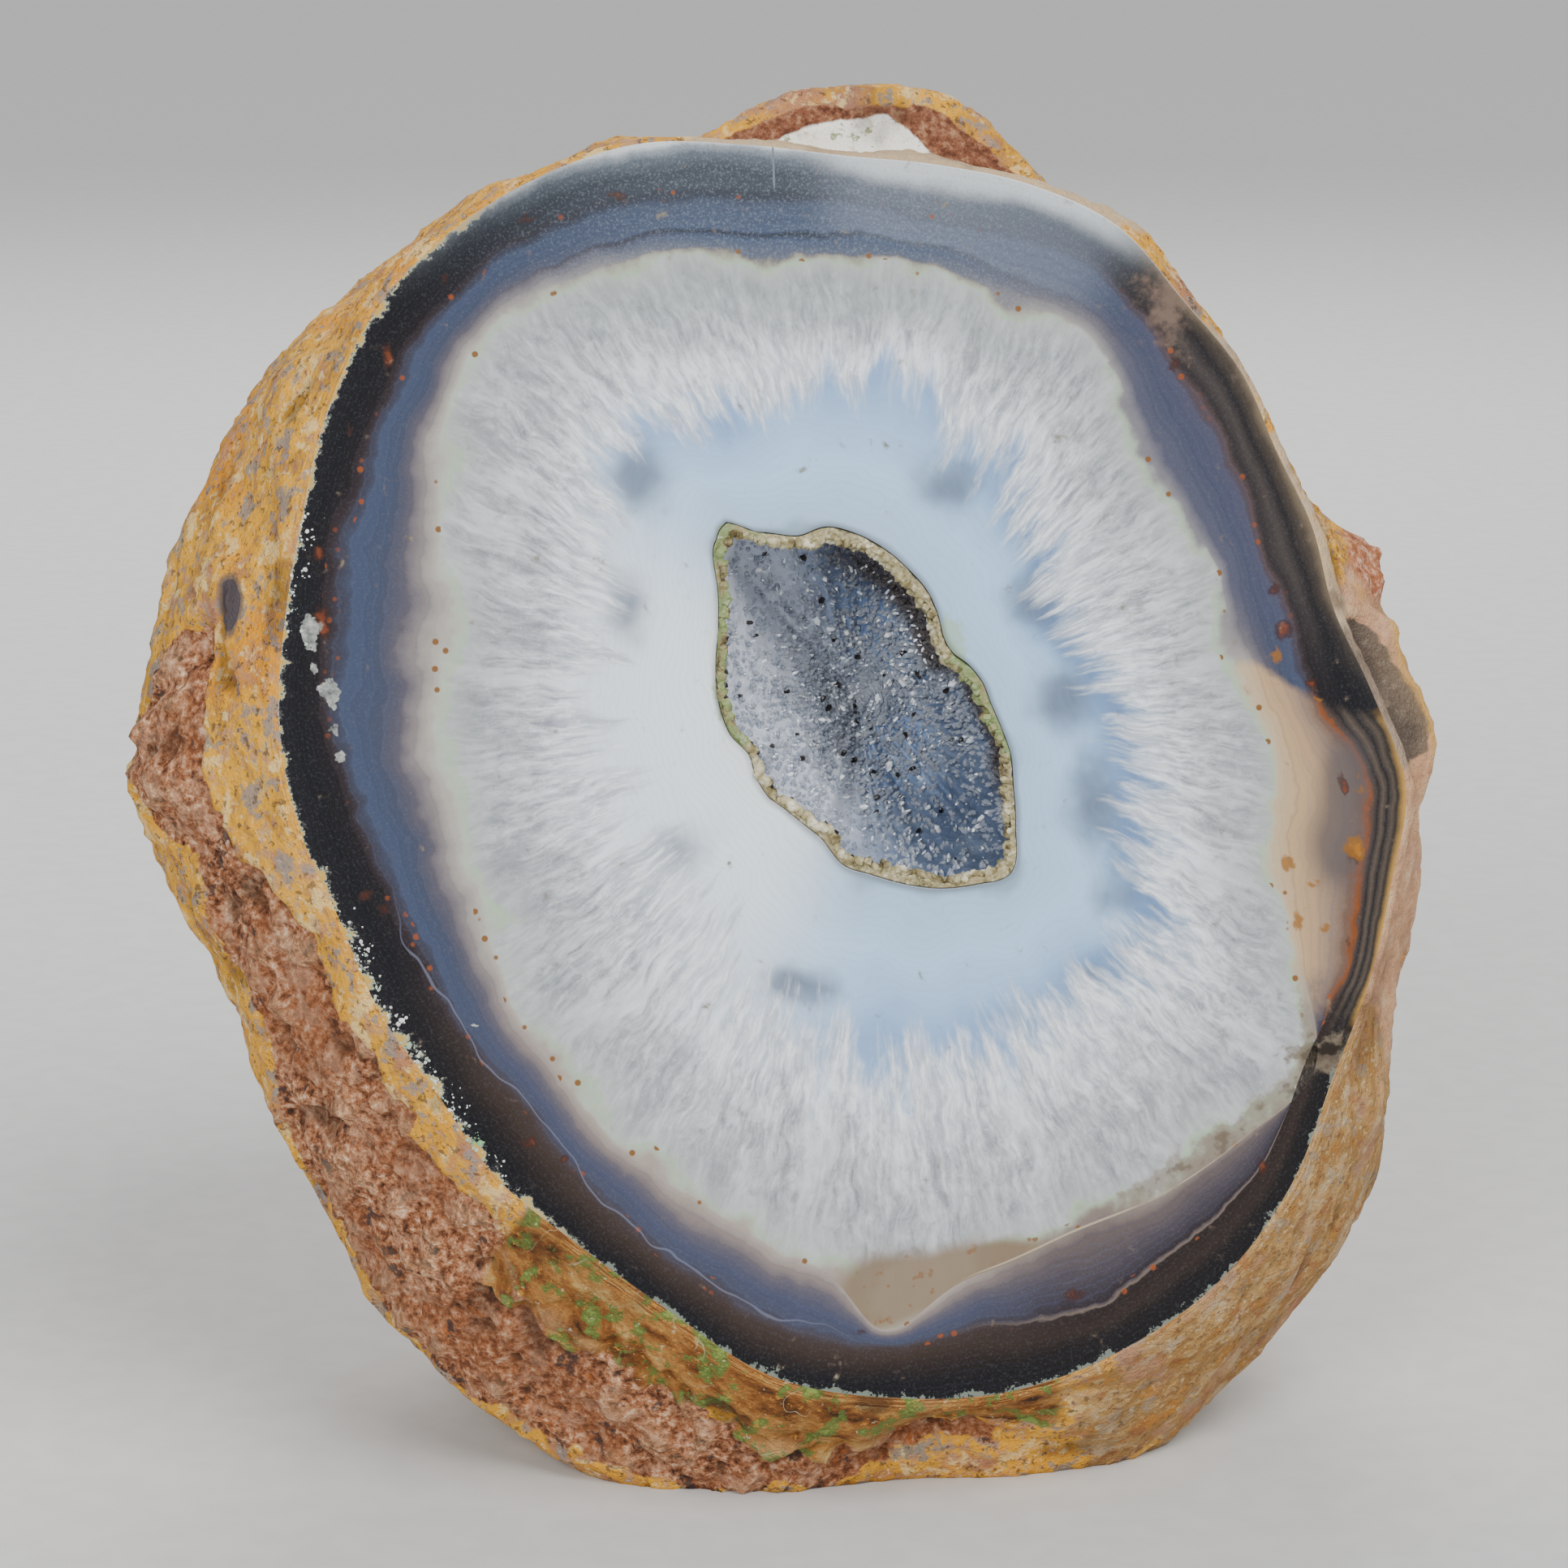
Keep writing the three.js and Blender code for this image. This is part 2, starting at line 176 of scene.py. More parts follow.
# depths between which the left side is bare rock, every 10 degrees from BARE_FROM
BARE_INNER = [7, 6, 4.2, 2.8, 2.4, 2.2, 2.4, 3, 3.6, 4, 4.4, 4.8]
BARE_OUTER = [9, 18, 12.5, 12.5, 12.5, 18, 18, 15, 11.5, 10, 9, 7]
BARE_FROM, BARE_RECESS = 170, 1.3
# the grey oval and the pit in the left skin, and a rough brown lump with the ledge under it
INCLUSION, DARK_PIT, PIT_REACH, PIT_DEPTH = (-54.3, 10.7, 5.0), (-57.6, 7.9, 8.0), 1.1, 1.1
BROW = [((-61.0, -3.5, 13.0), 1.4, 3.4), ((-60.0, -11.0, 13.0), -1.6, 3.0)]
# marks in the polished face: right, up, half width and half height of each
FLAKES = [(-47.6, 7.9, 0.75, 1.5), (-47.3, 4.7, 0.5, 0.7), (-46.1, 2.6, 0.9, 1.7),
          (-45.9, -0.8, 0.8, 1.2), (-45.4, -3.2, 0.5, 0.8), (-34.5, -26.1, 0.8, 0.3)]
RUST = [(-46.5, 14.4, 0.7, 0.9), (-46.6, 9.4, 1.0, 1.0), (-46.4, 7.9, 0.8, 0.6),
        (-43.5, -14.8, 0.9, 0.9), (-42.1, -16.0, 0.7, 0.8), (-37.8, -20.4, 0.5, 0.6),
        (-30.4, -36.2, 0.9, 0.6), (-27.4, -37.7, 0.6, 0.5), (16.6, -51.6, 1.2, 0.8),
        (33.5, -41.0, 0.7, 1.2), (37.6, 5.6, 1.1, 1.2), (36.7, 9.3, 0.8, 1.0),
        (39.6, 1.0, 0.9, 0.6), (28.3, 29.2, 0.8, 0.9), (-20.2, 44.8, 1.3, 0.5),
        (-16.4, 45.0, 0.9, 0.5), (-27.4, 42.8, 1.4, 0.5), (-35.2, 37.7, 0.6, 0.9),
        (-40.1, 31.3, 0.6, 1.2), (-43.6, 25.0, 0.5, 1.1), (42.0, -21.5, 0.6, 1.0),
        (42.8, -14.5, 0.7, 1.3), (42.3, -8.0, 0.5, 1.4), (-3.0, -53.8, 1.2, 0.5)]
BROWN_PATCH = [(28.0, 34.6, 2.3, 3.8)]
POCKET = [(41.9, -30.0, 0.8, 1.6), (39.8, -31.0, 1.6, 0.7)]
ROUGH_END = [(38.8, -31.6, 2.8, 1.5), (41.6, -31.2, 1.3, 1.7)]
GREY_PATCH = [(42.4, -6.8, 2.5, 3.8), (41.3, -13.6, 3.0, 4.4)]
OCHRE = [(37.4, -6.0, 0.6, 0.5), (36.8, -14.8, 0.8, 0.9), (39.2, -16.4, 1.3, 0.6),
         (37.8, -19.6, 0.9, 1.3), (40.2, -20.5, 0.7, 0.5), (43.5, -8.3, 0.5, 1.3),
         (43.0, -13.6, 0.9, 1.6), (36.6, 3.6, 0.6, 0.9), (40.4, -0.6, 0.5, 0.4)]
GREEN_SPILL = [(7.9, 5.2, 1.6, 3.0), (-12.3, 1.0, 0.9, 3.6), (-11.8, 15.8, 1.0, 0.9),
               (11.2, -6.0, 0.7, 3.0)]
BLOTS = [(-18.9, 20.0, 3.2, 3.4), (8.1, 19.3, 3.6, 3.0), (14.6, 9.4, 3.4, 3.4),
         (20.1, -9.1, 2.6, 4.6), (20.9, -17.6, 2.8, 2.6), (-20.3, 9.4, 2.4, 3.8),
         (-17.0, -12.0, 3.2, 2.8), (-4.5, -24.5, 2.8, 1.8), (17.6, 0.5, 2.6, 3.4),
         (19.0, -24.0, 1.8, 1.4), (-8.0, -23.5, 2.2, 1.6)]
# the beige lens that hangs from the white zone: how it bends the border, and its own marks
BEIGE_TIP = dict(deg=269.5, rise=4.3, before=3.4, after=5.5)
BEIGE_LENS = [(-1.0, -50.8, 3.4, 3.4), (4.6, -49.9, 5.2, 2.5), (10.8, -47.7, 5.2, 1.3)]

STONE_COLUMNS = 512
columns_deg = np.arange(STONE_COLUMNS) * 360 / STONE_COLUMNS
angle = np.radians(columns_deg)


def rind(angle, depth):
    """The rind at an angle and depth: right, up and depth, with masks for its kinds of surface.

    The radius grows from the polished edge to the girth as a quarter sine, then closes to the back as
    a rounded power curve. Lumps, swells, the lobe and the crumbled patch are added along the normal.
    """
    angle, depth = np.broadcast_arrays(angle, depth)
    degrees = np.degrees(angle)
    edge, girth = outline(FACE_EDGE, angle), outline(GIRTH, angle)
    share = np.clip((depth - GIRTH_DEPTH) / (BODY_DEPTH - GIRTH_DEPTH), 0, 1)
    flank = edge + (girth - edge) * np.sin(np.pi / 2 * np.minimum(depth, GIRTH_DEPTH) / GIRTH_DEPTH)
    radius = flank * (1 - share ** BODY_FULLNESS) ** (1 / BODY_FULLNESS)
    across = 1 - ((degrees - LOBE["middle"]) / LOBE["half"]) ** 2
    front = ease(LOBE["front"], LOBE["front"] + LOBE["step"], depth)
    along = front * (1 - ease(LOBE["end"] - LOBE["fade"], LOBE["end"], depth))
    radius = radius + LOBE["rise"] * np.maximum(across, 0) * along
    base = np.stack([radius * np.cos(angle) + BACK_SHIFT[0] * share,
                     radius * np.sin(angle) + BACK_SHIFT[1] * share, depth + 0 * angle], -1)
    calm = FRONT_CALM + (1 - FRONT_CALM) * ease(GIRTH_DEPTH, GIRTH_DEPTH + SWELL_FADE, depth)
    height = mounds(base, LUMPS)
    height = height + calm * sum(rise * np.sin(2 * np.pi * (base @ np.array(way)) / wave + phase)
                                 for wave, rise, way, phase in SWELLS)
    ragged = layered(base, [(1.3, 5, 3), (0.7, 2.2, 4), (0.35, 0.9, 5)])
    step = (degrees - BARE_FROM) / 10
    inner = np.interp(step, np.arange(12), BARE_INNER) + ragged
    outer = np.interp(step, np.arange(12), BARE_OUTER) + 1.5 * ragged
    bare = (ease(inner, inner + 0.9, depth) * (1 - ease(outer, outer + 0.9, depth))
            * ease(-0.4, 0.3, step + 0.2 * ragged) * (1 - ease(10.6, 11.3, step + 0.2 * ragged)))
    # the back is bare in patches as well, where the skin has weathered off
    behind = ease(0.15, 0.4, lumps(base, 26, 8) + 0.35 * ragged) * ease(24, 32, depth)
    bare = np.maximum(bare, behind)
    crumble = (0.9 * (1 - np.abs(lumps(base, 4.2, 11)))
               + layered(base, [(0.75, 2.1, 12), (0.5, 1.2, 13), (0.3, 0.7, 14)]) - 0.5)
    rim_way = np.minimum(20, 0.45 * radius)
    along_rim = np.stack([rim_way * np.cos(angle), rim_way * np.sin(angle), depth + 0 * angle], -1)
    skin = (layered(base, [(0.5, 6.0, 21), (0.22, 1.2, 23), (0.14, 0.7, 25)])
            + 0.35 * lumps(along_rim, 2.0, 22) - 0.7 * ease(0.5, 0.75, lumps(along_rim, 2.1, 24)))
    pit = mounds(base, [(DARK_PIT, 1.0, PIT_REACH)])
    knob = mounds(base, [(KNOB, 1.0, KNOB_REACH)])
    from_edge = ease(0, EDGE_FADE, depth)
    height = height - BARE_RECESS * bare + 1.25 * crumble * bare + 0.85 * skin * (1 - bare)
    height = height - PIT_DEPTH * pit + mounds(base, BROW) + knob * (2.2 + 1.3 * crumble)
    # the chip at the right: sunk next to the polished edge, with a raised lip behind
    chip_angle = (degrees + 180) % 360 - 180
    in_chip = ease(*CHIP["start"], chip_angle + ragged) * (1 - ease(*CHIP["end"], chip_angle + ragged))
    chip_lip = CHIP["lip_rise"] * np.exp(-((depth - CHIP["lip"]) / CHIP["lip_width"]) ** 2)
    height = height + in_chip * (chip_lip - CHIP["sunk"] * ease(0.3, 1.6, depth) * (1 - ease(3.4, 4.6, depth)))
    height = height * from_edge + 0.16 * lumps(base, 0.8, 31) * ease(0.1, 0.8, depth)
    turn = np.pi / 2 * share ** BACK_TURN
    point = base + height[..., None] * np.stack(
        [np.cos(turn) * np.cos(angle), np.cos(turn) * np.sin(angle), np.sin(turn)], -1)
    lobe_in = np.where((depth < 7.2) & (depth > 5.0), LOBE["rise"] * np.maximum(across, 0) * (1 - front), 0)
    masks = dict(
        bare=bare,
        # high is the relief's height; the rind is painted darker where it is low and lighter where it is high,
        # as painted shade and light
        high=0.5 + 0.5 * np.clip(crumble * bare + skin * (1 - bare), -1, 1),
        deep=depth,
        mossy=between(degrees, 234, 284, 5) * (1 - ease(4.6, 6.4, depth + 1.5 * ragged)),
        tan=between(degrees + 5 * ragged, 287, 326, 10) * (1 - ease(22, 36, depth + 7 * ragged)),
        pink=between(degrees + 5 * ragged, 326, 372, 12) * (1 - ease(10, 22, depth + 7 * ragged)),
        knob=knob,
        chip=in_chip * (1 - ease(4.6, 5.6, depth + 0.6 * ragged + 0.025 * chip_angle ** 2)),
        chip_rim=in_chip * np.exp(-((depth - 5.3) / 0.8) ** 2),
        lobe_in=lobe_in,
        lobe_white=lobe_in - 0.14 * np.maximum(degrees - 85, 0) - 0.6 * np.maximum(85 - degrees, 0),
        edge_white=np.maximum(
            between(degrees + 3 * ragged, 58, 104, 8) * (1 - ease(3.6, 5.2, depth + ragged)),
            between(degrees, 8, 46, 8) * (1 - ease(0.9, 2.0, depth + 0.8 * ragged))),
        inclusion=np.exp(-(((base - INCLUSION) / (1.6, 2.7, 1.6)) ** 2).sum(-1)),
        pit=pit,
        orange=ease(-0.4, 0.2, lumps(base, 9, 41) + 0.25 * ragged) * (1 - bare)
        * (0.2 + 0.6 * between(degrees, 122, 176, 24)),
    )
    return point, masks


def hollow(angle, share, inset, fullness=HOLLOW_FULLNESS):
    """The hollow's wall: its mouth's radius closes inwards as a power curve while it sinks and drifts."""
    angle, share = np.broadcast_arrays(angle, share)
    degrees = np.degrees(angle)
    corner = 1.1 * np.maximum(0, 1 - np.abs(degrees - 125) / 5)
    turn = np.pi / 2 * share
    sink = np.sin(turn) ** (2 / fullness)
    radius = (outline(HOLLOW_EDGE, angle) + corner - inset) * np.cos(turn) ** (2 / fullness)
    return np.stack([radius * np.cos(angle) + HOLLOW_SHIFT[0] * sink,
                     radius * np.sin(angle) + HOLLOW_SHIFT[1] * sink,
                     (HOLLOW_DEPTH - inset) * sink], -1)


turns = np.pi / 2 * (np.arange(52, 0, -1) - 0.5) / 52
back_depths = GIRTH_DEPTH + (BODY_DEPTH - GIRTH_DEPTH) * np.sin(turns) ** (2 / BODY_FULLNESS)
flank_depths = np.concatenate([np.linspace(GIRTH_DEPTH, 6.6, 34, endpoint=False),
                               np.linspace(6.6, 5.0, 9, endpoint=False), np.linspace(5.0, EDGE_BEVEL, 16)])
rind_depths = np.concatenate([back_depths, flank_depths])
rind_rows, masks = rind(np.broadcast_to(angle, (len(rind_depths), STONE_COLUMNS)), rind_depths[:, None])

borders = [outline(radii, angle) for radii in (FACE_EDGE, BLACK_BLUE, BLUE_WHITE, QUARTZ_MILKY)]
borders[0] = borders[0] - EDGE_BEVEL
from_tip = columns_deg - BEIGE_TIP["deg"]
tip_width = np.where(from_tip < 0, BEIGE_TIP["before"], BEIGE_TIP["after"])
borders[2] = borders[2] + BEIGE_TIP["rise"] * np.exp(-(from_tip / tip_width) ** 2)
mouth = np.hypot(*hollow(angle, np.zeros_like(angle), 0)[..., :2].T)
borders.append(mouth)
face_radii, face_bands = [], []
for outer, inner, band, rows in zip(borders, borders[1:], (4, 3, 2, 1), (9, 10, 15, 12)):
    steps = np.arange(rows)[:, None] / rows
    face_radii.append(outer + (inner - outer) * steps)
    face_bands.append(band - steps + 0 * outer)
# one more ring close to each end keeps the polished face flat up to its edges
face_radii = np.concatenate([borders[0][None], borders[0][None] - 0.12, face_radii[0][1:], *face_radii[1:],
                             mouth[None] + 0.1])
face_bands = np.concatenate([np.full((1, STONE_COLUMNS), 4.0), np.full((1, STONE_COLUMNS), 3.985),
                             face_bands[0][1:], *face_bands[1:], np.full((1, STONE_COLUMNS), 0.008)])
face_rows = np.stack([face_radii * np.cos(angle), face_radii * np.sin(angle), 0 * face_radii], -1)
wall_share = np.arange(0, 12)[:, None] / 12
wall_rows = hollow(np.broadcast_to(angle, (12, STONE_COLUMNS)), wall_share, 0)

local = np.concatenate([rind_rows, face_rows, wall_rows])
stone_rings = place(local[..., 0], local[..., 1], local[..., 2])
stone_rings[..., 2] = np.maximum(stone_rings[..., 2], 0)
back_pole = rind(np.zeros(1), np.full(1, BODY_DEPTH))[0][0]
floor_pole = np.array([*HOLLOW_SHIFT, HOLLOW_DEPTH])
stone = closed_rings("agate_stone_cut", stone_rings, place(*back_pole), place(*floor_pole))

rind_count, face_count = len(rind_rows), len(face_rows)
for name, mask in masks.items():
    whole = np.zeros(stone_rings.shape[:2])
    whole[:rind_count] = mask
    # the small bevel at the polished edge carries the rind's marks too
    whole[rind_count] = mask[-1]
    paint(stone, name, whole, [0.0, 0.0])
band = np.full(stone_rings.shape[:2], 4.0)
band[rind_count:rind_count + face_count] = face_bands
band[rind_count + face_count:] = 0
paint(stone, "band", band, [4.0, 0.0])
radius_mm = np.hypot(local[..., 0], local[..., 1])
# the grain of the rind runs along the rim, and that of the quartz out from the middle
on_rind = np.arange(len(band))[:, None] < rind_count
across_grain = np.where(on_rind, np.minimum(22.0, 0.6 * radius_mm), 35.0)
grain_place = np.stack([across_grain * np.cos(angle), across_grain * np.sin(angle),
                        np.where(on_rind, local[..., 2], 0.2 * radius_mm)], -1)
paint(stone, "grain_place", grain_place, [[0.0, 0.0, BODY_DEPTH], [0.0, 0.0, 0.0]])
degrees = np.broadcast_to(columns_deg, band.shape)
for name, start, end, soft in [
        ("top", 66, 122, 34), ("lower", 216, 322, 24), ("right", 8, 56, 22),
        ("left_grey", 140, 250, 60), ("right_blue", 300, 60, 60), ("seam", 128, 236, 12),
        ("green_line", 232, 322, 8), ("keen_edge", 279, 322, 6), ("scallops", 203, 264, 10),
        ("wedge", 282, 326, 16), ("frosted_sheen_right", 59, 92, 14)]:
    paint(stone, name, between(degrees, start, end + 360 * (end < start), soft), [0.0, 0.0])
# the amber zone ends in a curve: further round the nearer it is to the middle
amber_end = 7.7 * np.clip((46 - radius_mm) / 11.5, 0, 1) ** 2 - 2.7
paint(stone, "amber", between(degrees, 326, 386, 12)
      * (1 - ease(amber_end - 1.4, amber_end + 1.4, (degrees + 180) % 360 - 180)), [0.0, 0.0])
paint(stone, "rough_edge", between(degrees, 296, 325, 9) * np.exp(-((band - 1.96) / 0.07) ** 2), [0.0, 0.0])
paint(stone, "whites", band <= 2.0, [0.0, 0.0])
for name, spots in [
        ("flakes", FLAKES), ("rust", RUST), ("brown_patch", BROWN_PATCH), ("pocket", POCKET),
        ("grey_patch", GREY_PATCH), ("ochre", OCHRE), ("beige_tip", BEIGE_LENS), ("rough_end", ROUGH_END),
        ("green_spill", GREEN_SPILL), ("blots", BLOTS)]:
    spot_marks = sum(np.exp(-((local[..., 0] - x) / w) ** 2 - ((local[..., 1] - y) / h) ** 2)
                     for x, y, w, h in spots)
    paint(stone, name, spot_marks * (local[..., 2] < 0.3), [0.0, 0.0])
stone.data.polygons.foreach_set("use_smooth", np.ones(len(stone.data.polygons), bool))


def linear(hex_colour):
    """sRGB hex to linear red, green, blue and alpha: the sRGB curve's inverse for each channel."""
    channels = [int(hex_colour[i:i + 2], 16) / 255 for i in (1, 3, 5)]
    return tuple(c / 12.92 if c <= 0.04045 else ((c + 0.055) / 1.055) ** 2.4 for c in channels) + (1.0,)


def add(tree, kind, *given, out=0, stops=(), **settings):
    """Adds a shader node and returns one of its outputs in use.

    given goes into the inputs in use, in order: other nodes' outputs, numbers or hex colours, and None
    leaves one as it is. settings are the node's own, and stops a ramp's pairs of place and colour.
    """
    node = tree.nodes.new("ShaderNode" + kind)
    for name, value in settings.items():
        setattr(node, name, value)
    for number, (where_on_ramp, hue) in enumerate(stops):
        elements = node.color_ramp.elements
        element = elements[number] if number < 2 else elements.new(1.0)
        element.position, element.color = where_on_ramp, linear(hue)
    for socket, value in zip([s for s in node.inputs if s.enabled], given):
        if isinstance(value, bpy.types.NodeSocket):
            tree.links.new(value, socket)
        elif value is not None:
            socket.default_value = linear(value) if isinstance(value, str) else value
    return [s for s in node.outputs if s.enabled][out]


SOFT, COLOUR = dict(interpolation_type="SMOOTHSTEP"), dict(data_type="RGBA")


def laid_over(tree, colour, stains):
    """Lays stains, painted shade and painted light over a colour, each growing from none to its full cover as
    its pattern goes from low to high. A stain is a pattern, low, high, full cover and hue, and cover and hue
    may be outputs."""
    for pattern, low, high, cover, hue in stains:
        amount = add(tree, "MapRange", pattern, low, high, 0.0, cover, **SOFT)
        colour = add(tree, "Mix", amount, colour, hue, **COLOUR)
    return colour


def swung(tree, pattern, reach, onto):
    """A value made ragged by a noise: the noise less a half, times the reach, plus the value."""
    centred = add(tree, "Math", pattern, 0.5, operation="SUBTRACT")
    return add(tree, "Math", centred, reach, onto, operation="MULTIPLY_ADD")


def ripples(tree, along, pace):
    """Fine growth lines: the sine of a place along the bands times a pace."""
    return add(tree, "Math", add(tree, "Math", along, pace, operation="MULTIPLY"), operation="SINE")


def new_material(name, **inputs):
    """An empty node material with its surface shader: the material, its node tree and the shader.

    inputs are the shader's own numbers, under its names for them with blanks written as underscores.
    """
    material = bpy.data.materials.new(name)
    material.use_nodes = True
    tree = material.node_tree
    tree.nodes.clear()
    shader = tree.nodes.new("ShaderNodeBsdfPrincipled")
    for label, value in inputs.items():
        shader.inputs[label.replace("_", " ")].default_value = value
    output = tree.nodes.new("ShaderNodeOutputMaterial")
    tree.links.new(shader.outputs["BSDF"], output.inputs["Surface"])
    return material, tree, shader


# Weathered rind: the nodule's skin of iron-stained clay minerals over agate, matt and gritty. The thin
# yellow-ochre skin is streaked along the rim, and under it lies crumbly pink-brown rock.
rind_material, tree, shader = new_material("weathered_rind", IOR=1.5, Specular_IOR_Level=0.3)
where = add(tree, "TexCoord", out=3)
rim_grain = add(tree, "Attribute", attribute_name="grain_place", out=1)
mark = {name: add(tree, "Attribute", attribute_name=name, out=2) for name in masks}
broad = add(tree, "TexNoise", where, 1000 / 9, 3, 0.6)
middling = add(tree, "TexNoise", where, 1000 / 2.8, 4, 0.7)
fine = add(tree, "TexNoise", where, 1000 / 0.8, 3, 0.7)
streaks = add(tree, "TexNoise", rim_grain, 1 / 1.9, 4, 0.72)
skin = add(tree, "ValToRGB", streaks, stops=[
    (0.3, "#5f4226"), (0.4, "#a9762c"), (0.49, "#d29a31"), (0.57, "#e0a02b"), (0.65, "#cda765"),
    (0.76, "#94897c")])
skin = laid_over(tree, skin, [
    (broad, 0.4, 0.5, mark["orange"], "#dd8c14"), (broad, 0.43, 0.33, 0.8, "#a8715a"),
    (streaks, 0.62, 0.7, 0.7, "#7b756c"), (streaks, 0.44, 0.36, 0.5, "#b5836c"),
    (middling, 0.55, 0.61, 0.85, "#8a8079"), (middling, 0.46, 0.38, 0.7, "#e6c98c"),
    (add(tree, "TexNoise", where, 1000 / 1.7, 3, 0.65), 0.56, 0.64, 0.7, "#b08468"),
    (fine, 0.57, 0.64, 0.75, "#54412f"), (fine, 0.4, 0.3, 0.45, "#e8d8b0")])
bare = add(tree, "ValToRGB", fine, stops=[
    (0.3, "#2b180f"), (0.41, "#6d4027"), (0.5, "#9c6341"), (0.59, "#be8a66"), (0.7, "#e0c0a2")])
bare = laid_over(tree, bare, [
    (broad, 0.47, 0.6, 0.42, "#854d2c"), (middling, 0.5, 0.4, 0.3, "#bf987c"),
    (middling, 0.6, 0.66, 0.85, "#3b3130"), (streaks, 0.62, 0.7, 0.6, "#b8662c")])
bare_edge = swung(tree, middling, 0.9, mark["bare"])
moss = add(tree, "ValToRGB", streaks, stops=[
    (0.32, "#3a220f"), (0.44, "#7e4c20"), (0.56, "#a6743a"), (0.7, "#c0a56a")])
moss = laid_over(tree, moss, [
    (middling, 0.53, 0.57, 0.85, "#5c7233"), (middling, 0.6, 0.66, 0.6, "#8aa150"),
    (fine, 0.6, 0.68, 0.7, "#c48a3a"), (fine, 0.36, 0.3, 0.5, "#d8cdb0")])
roots = add(tree, "Math", add(tree, "TexNoise", where, 1000 / 9, 2, 0.5, None, 1.2), 0.5, 0.003,
            operation="COMPARE")
moss = laid_over(tree, moss, [(roots, 0.0, 1.0, add(tree, "MapRange", broad, 0.5, 0.6, 0.0, 0.7), "#b9a583")])
tan = add(tree, "ValToRGB", streaks, stops=[
    (0.3, "#6b4c2f"), (0.44, "#96703f"), (0.54, "#b08a55"), (0.66, "#b9a283"), (0.78, "#8f8474")])
tan = laid_over(tree, tan, [
    (fine, 0.57, 0.66, 0.7, "#5b4433"), (fine, 0.42, 0.34, 0.6, "#cdb78e"),
    (streaks, 0.44, 0.36, 0.6, "#c48432"), (middling, 0.55, 0.63, 0.6, "#955c36"),
    (middling, 0.44, 0.36, 0.5, "#8f877c"), (broad, 0.52, 0.64, 0.6, "#a77c66")])
pink = add(tree, "ValToRGB", middling, stops=[(0.32, "#9a6f55"), (0.5, "#c0957a"), (0.66, "#d3b089")])
knob_hue = add(tree, "ValToRGB", fine, stops=[(0.3, "#783f29"), (0.48, "#a9694a"), (0.66, "#d8b095")])
chip_hue = add(tree, "ValToRGB", add(tree, "MapRange", mark["deep"], 0.0, 5.0), stops=[
    (0.0, "#8a7765"), (0.2, "#ab9580"), (0.42, "#8c7766"), (0.56, "#564a41"), (0.8, "#5f5145"),
    (1.0, "#7a6650")])
chip_hue = laid_over(tree, chip_hue, [
    (middling, 0.52, 0.64, 0.5, "#93806c"), (broad, 0.5, 0.38, 0.5, "#3a302a")])
lobe_red = add(tree, "ValToRGB", fine, stops=[(0.35, "#573222"), (0.5, "#805038"), (0.65, "#a67b5d")])
white = laid_over(tree, "#fffaf0", [
    (middling, 0.57, 0.61, 0.8, "#67893f"), (fine, 0.57, 0.66, 0.5, "#b59a7c")])
lobe_in = swung(tree, streaks, 1.6, mark["lobe_in"])
lobe_white = swung(tree, streaks, 1.0, mark["lobe_white"])
colour = laid_over(tree, skin, [
    (mark["tan"], 0.2, 0.8, 1.0, tan), (mark["pink"], 0.2, 0.8, 0.85, pink), (bare_edge, 0.4, 0.55, 1.0, bare),
    (mark["mossy"], 0.3, 0.6, 1.0, moss), (mark["knob"], 0.25, 0.5, 0.95, knob_hue),
    (mark["chip"], 0.4, 0.6, 1.0, chip_hue), (mark["chip_rim"], 0.5, 0.9, 0.85, "#c79a52"),
    (lobe_in, 1.5, 1.8, 1.0, lobe_red), (lobe_white, 2.2, 2.5, 1.0, white),
    (mark["edge_white"], 0.3, 0.7, 0.8, "#c2ad90"),
    (mark["inclusion"], 0.22, 0.4, 0.9, "#6a5a4f"), (mark["inclusion"], 0.42, 0.5, 0.9, "#443e44"),
    # the two stains from the relief's height are painted shade in its low places and painted light on its tops
    (mark["pit"], 0.4, 0.8, 0.8, "#32251f"), (mark["high"], 0.44, 0.14, 0.6, "#2f1d12"),
    (mark["high"], 0.6, 0.95, 0.12, "#e6cda2")])
tree.links.new(colour, shader.inputs["Base Color"])
tree.links.new(add(tree, "MapRange", mark["chip"], 0.3, 0.7, 0.86, 0.3), shader.inputs["Roughness"])
# the real grit is finer still, and is drawn at 0.3 mm, which the camera can just make out
grit = add(tree, "TexNoise", where, 1000 / 0.3, 2, 0.6)
grit = add(tree, "Math", grit, 0.35, fine, operation="MULTIPLY_ADD")
tree.links.new(add(tree, "Bump", 1.0, 0.45 * MM, None, grit), shader.inputs["Normal"])

# Polished agate: microcrystalline quartz, sawn and polished to a glassy shine. Iron-stained bands lie
# outermost, then slate blue, then a broad ring of fibrous white quartz, then milky chalcedony.
face_material, tree, shader = new_material("polished_agate", IOR=1.54, Coat_Weight=0.2, Coat_Roughness=0.1)
where = add(tree, "TexCoord", out=3)
radial = add(tree, "Attribute", attribute_name="grain_place", out=1)
band_here = add(tree, "Attribute", attribute_name="band", out=2)
mark = {name: add(tree, "Attribute", attribute_name=name, out=2) for name in (
    "amber", "top", "lower", "right", "left_grey", "right_blue", "seam", "green_line", "keen_edge",
    "scallops", "rough_edge", "beige_tip", "flakes", "rust", "brown_patch", "pocket", "grey_patch",
    "ochre", "green_spill", "blots", "wedge", "frosted_sheen_right", "whites", "rough_end")}
broad = add(tree, "TexNoise", where, 1000 / 7, 3, 0.55)
middling = add(tree, "TexNoise", where, 1000 / 1.8, 3, 0.65)
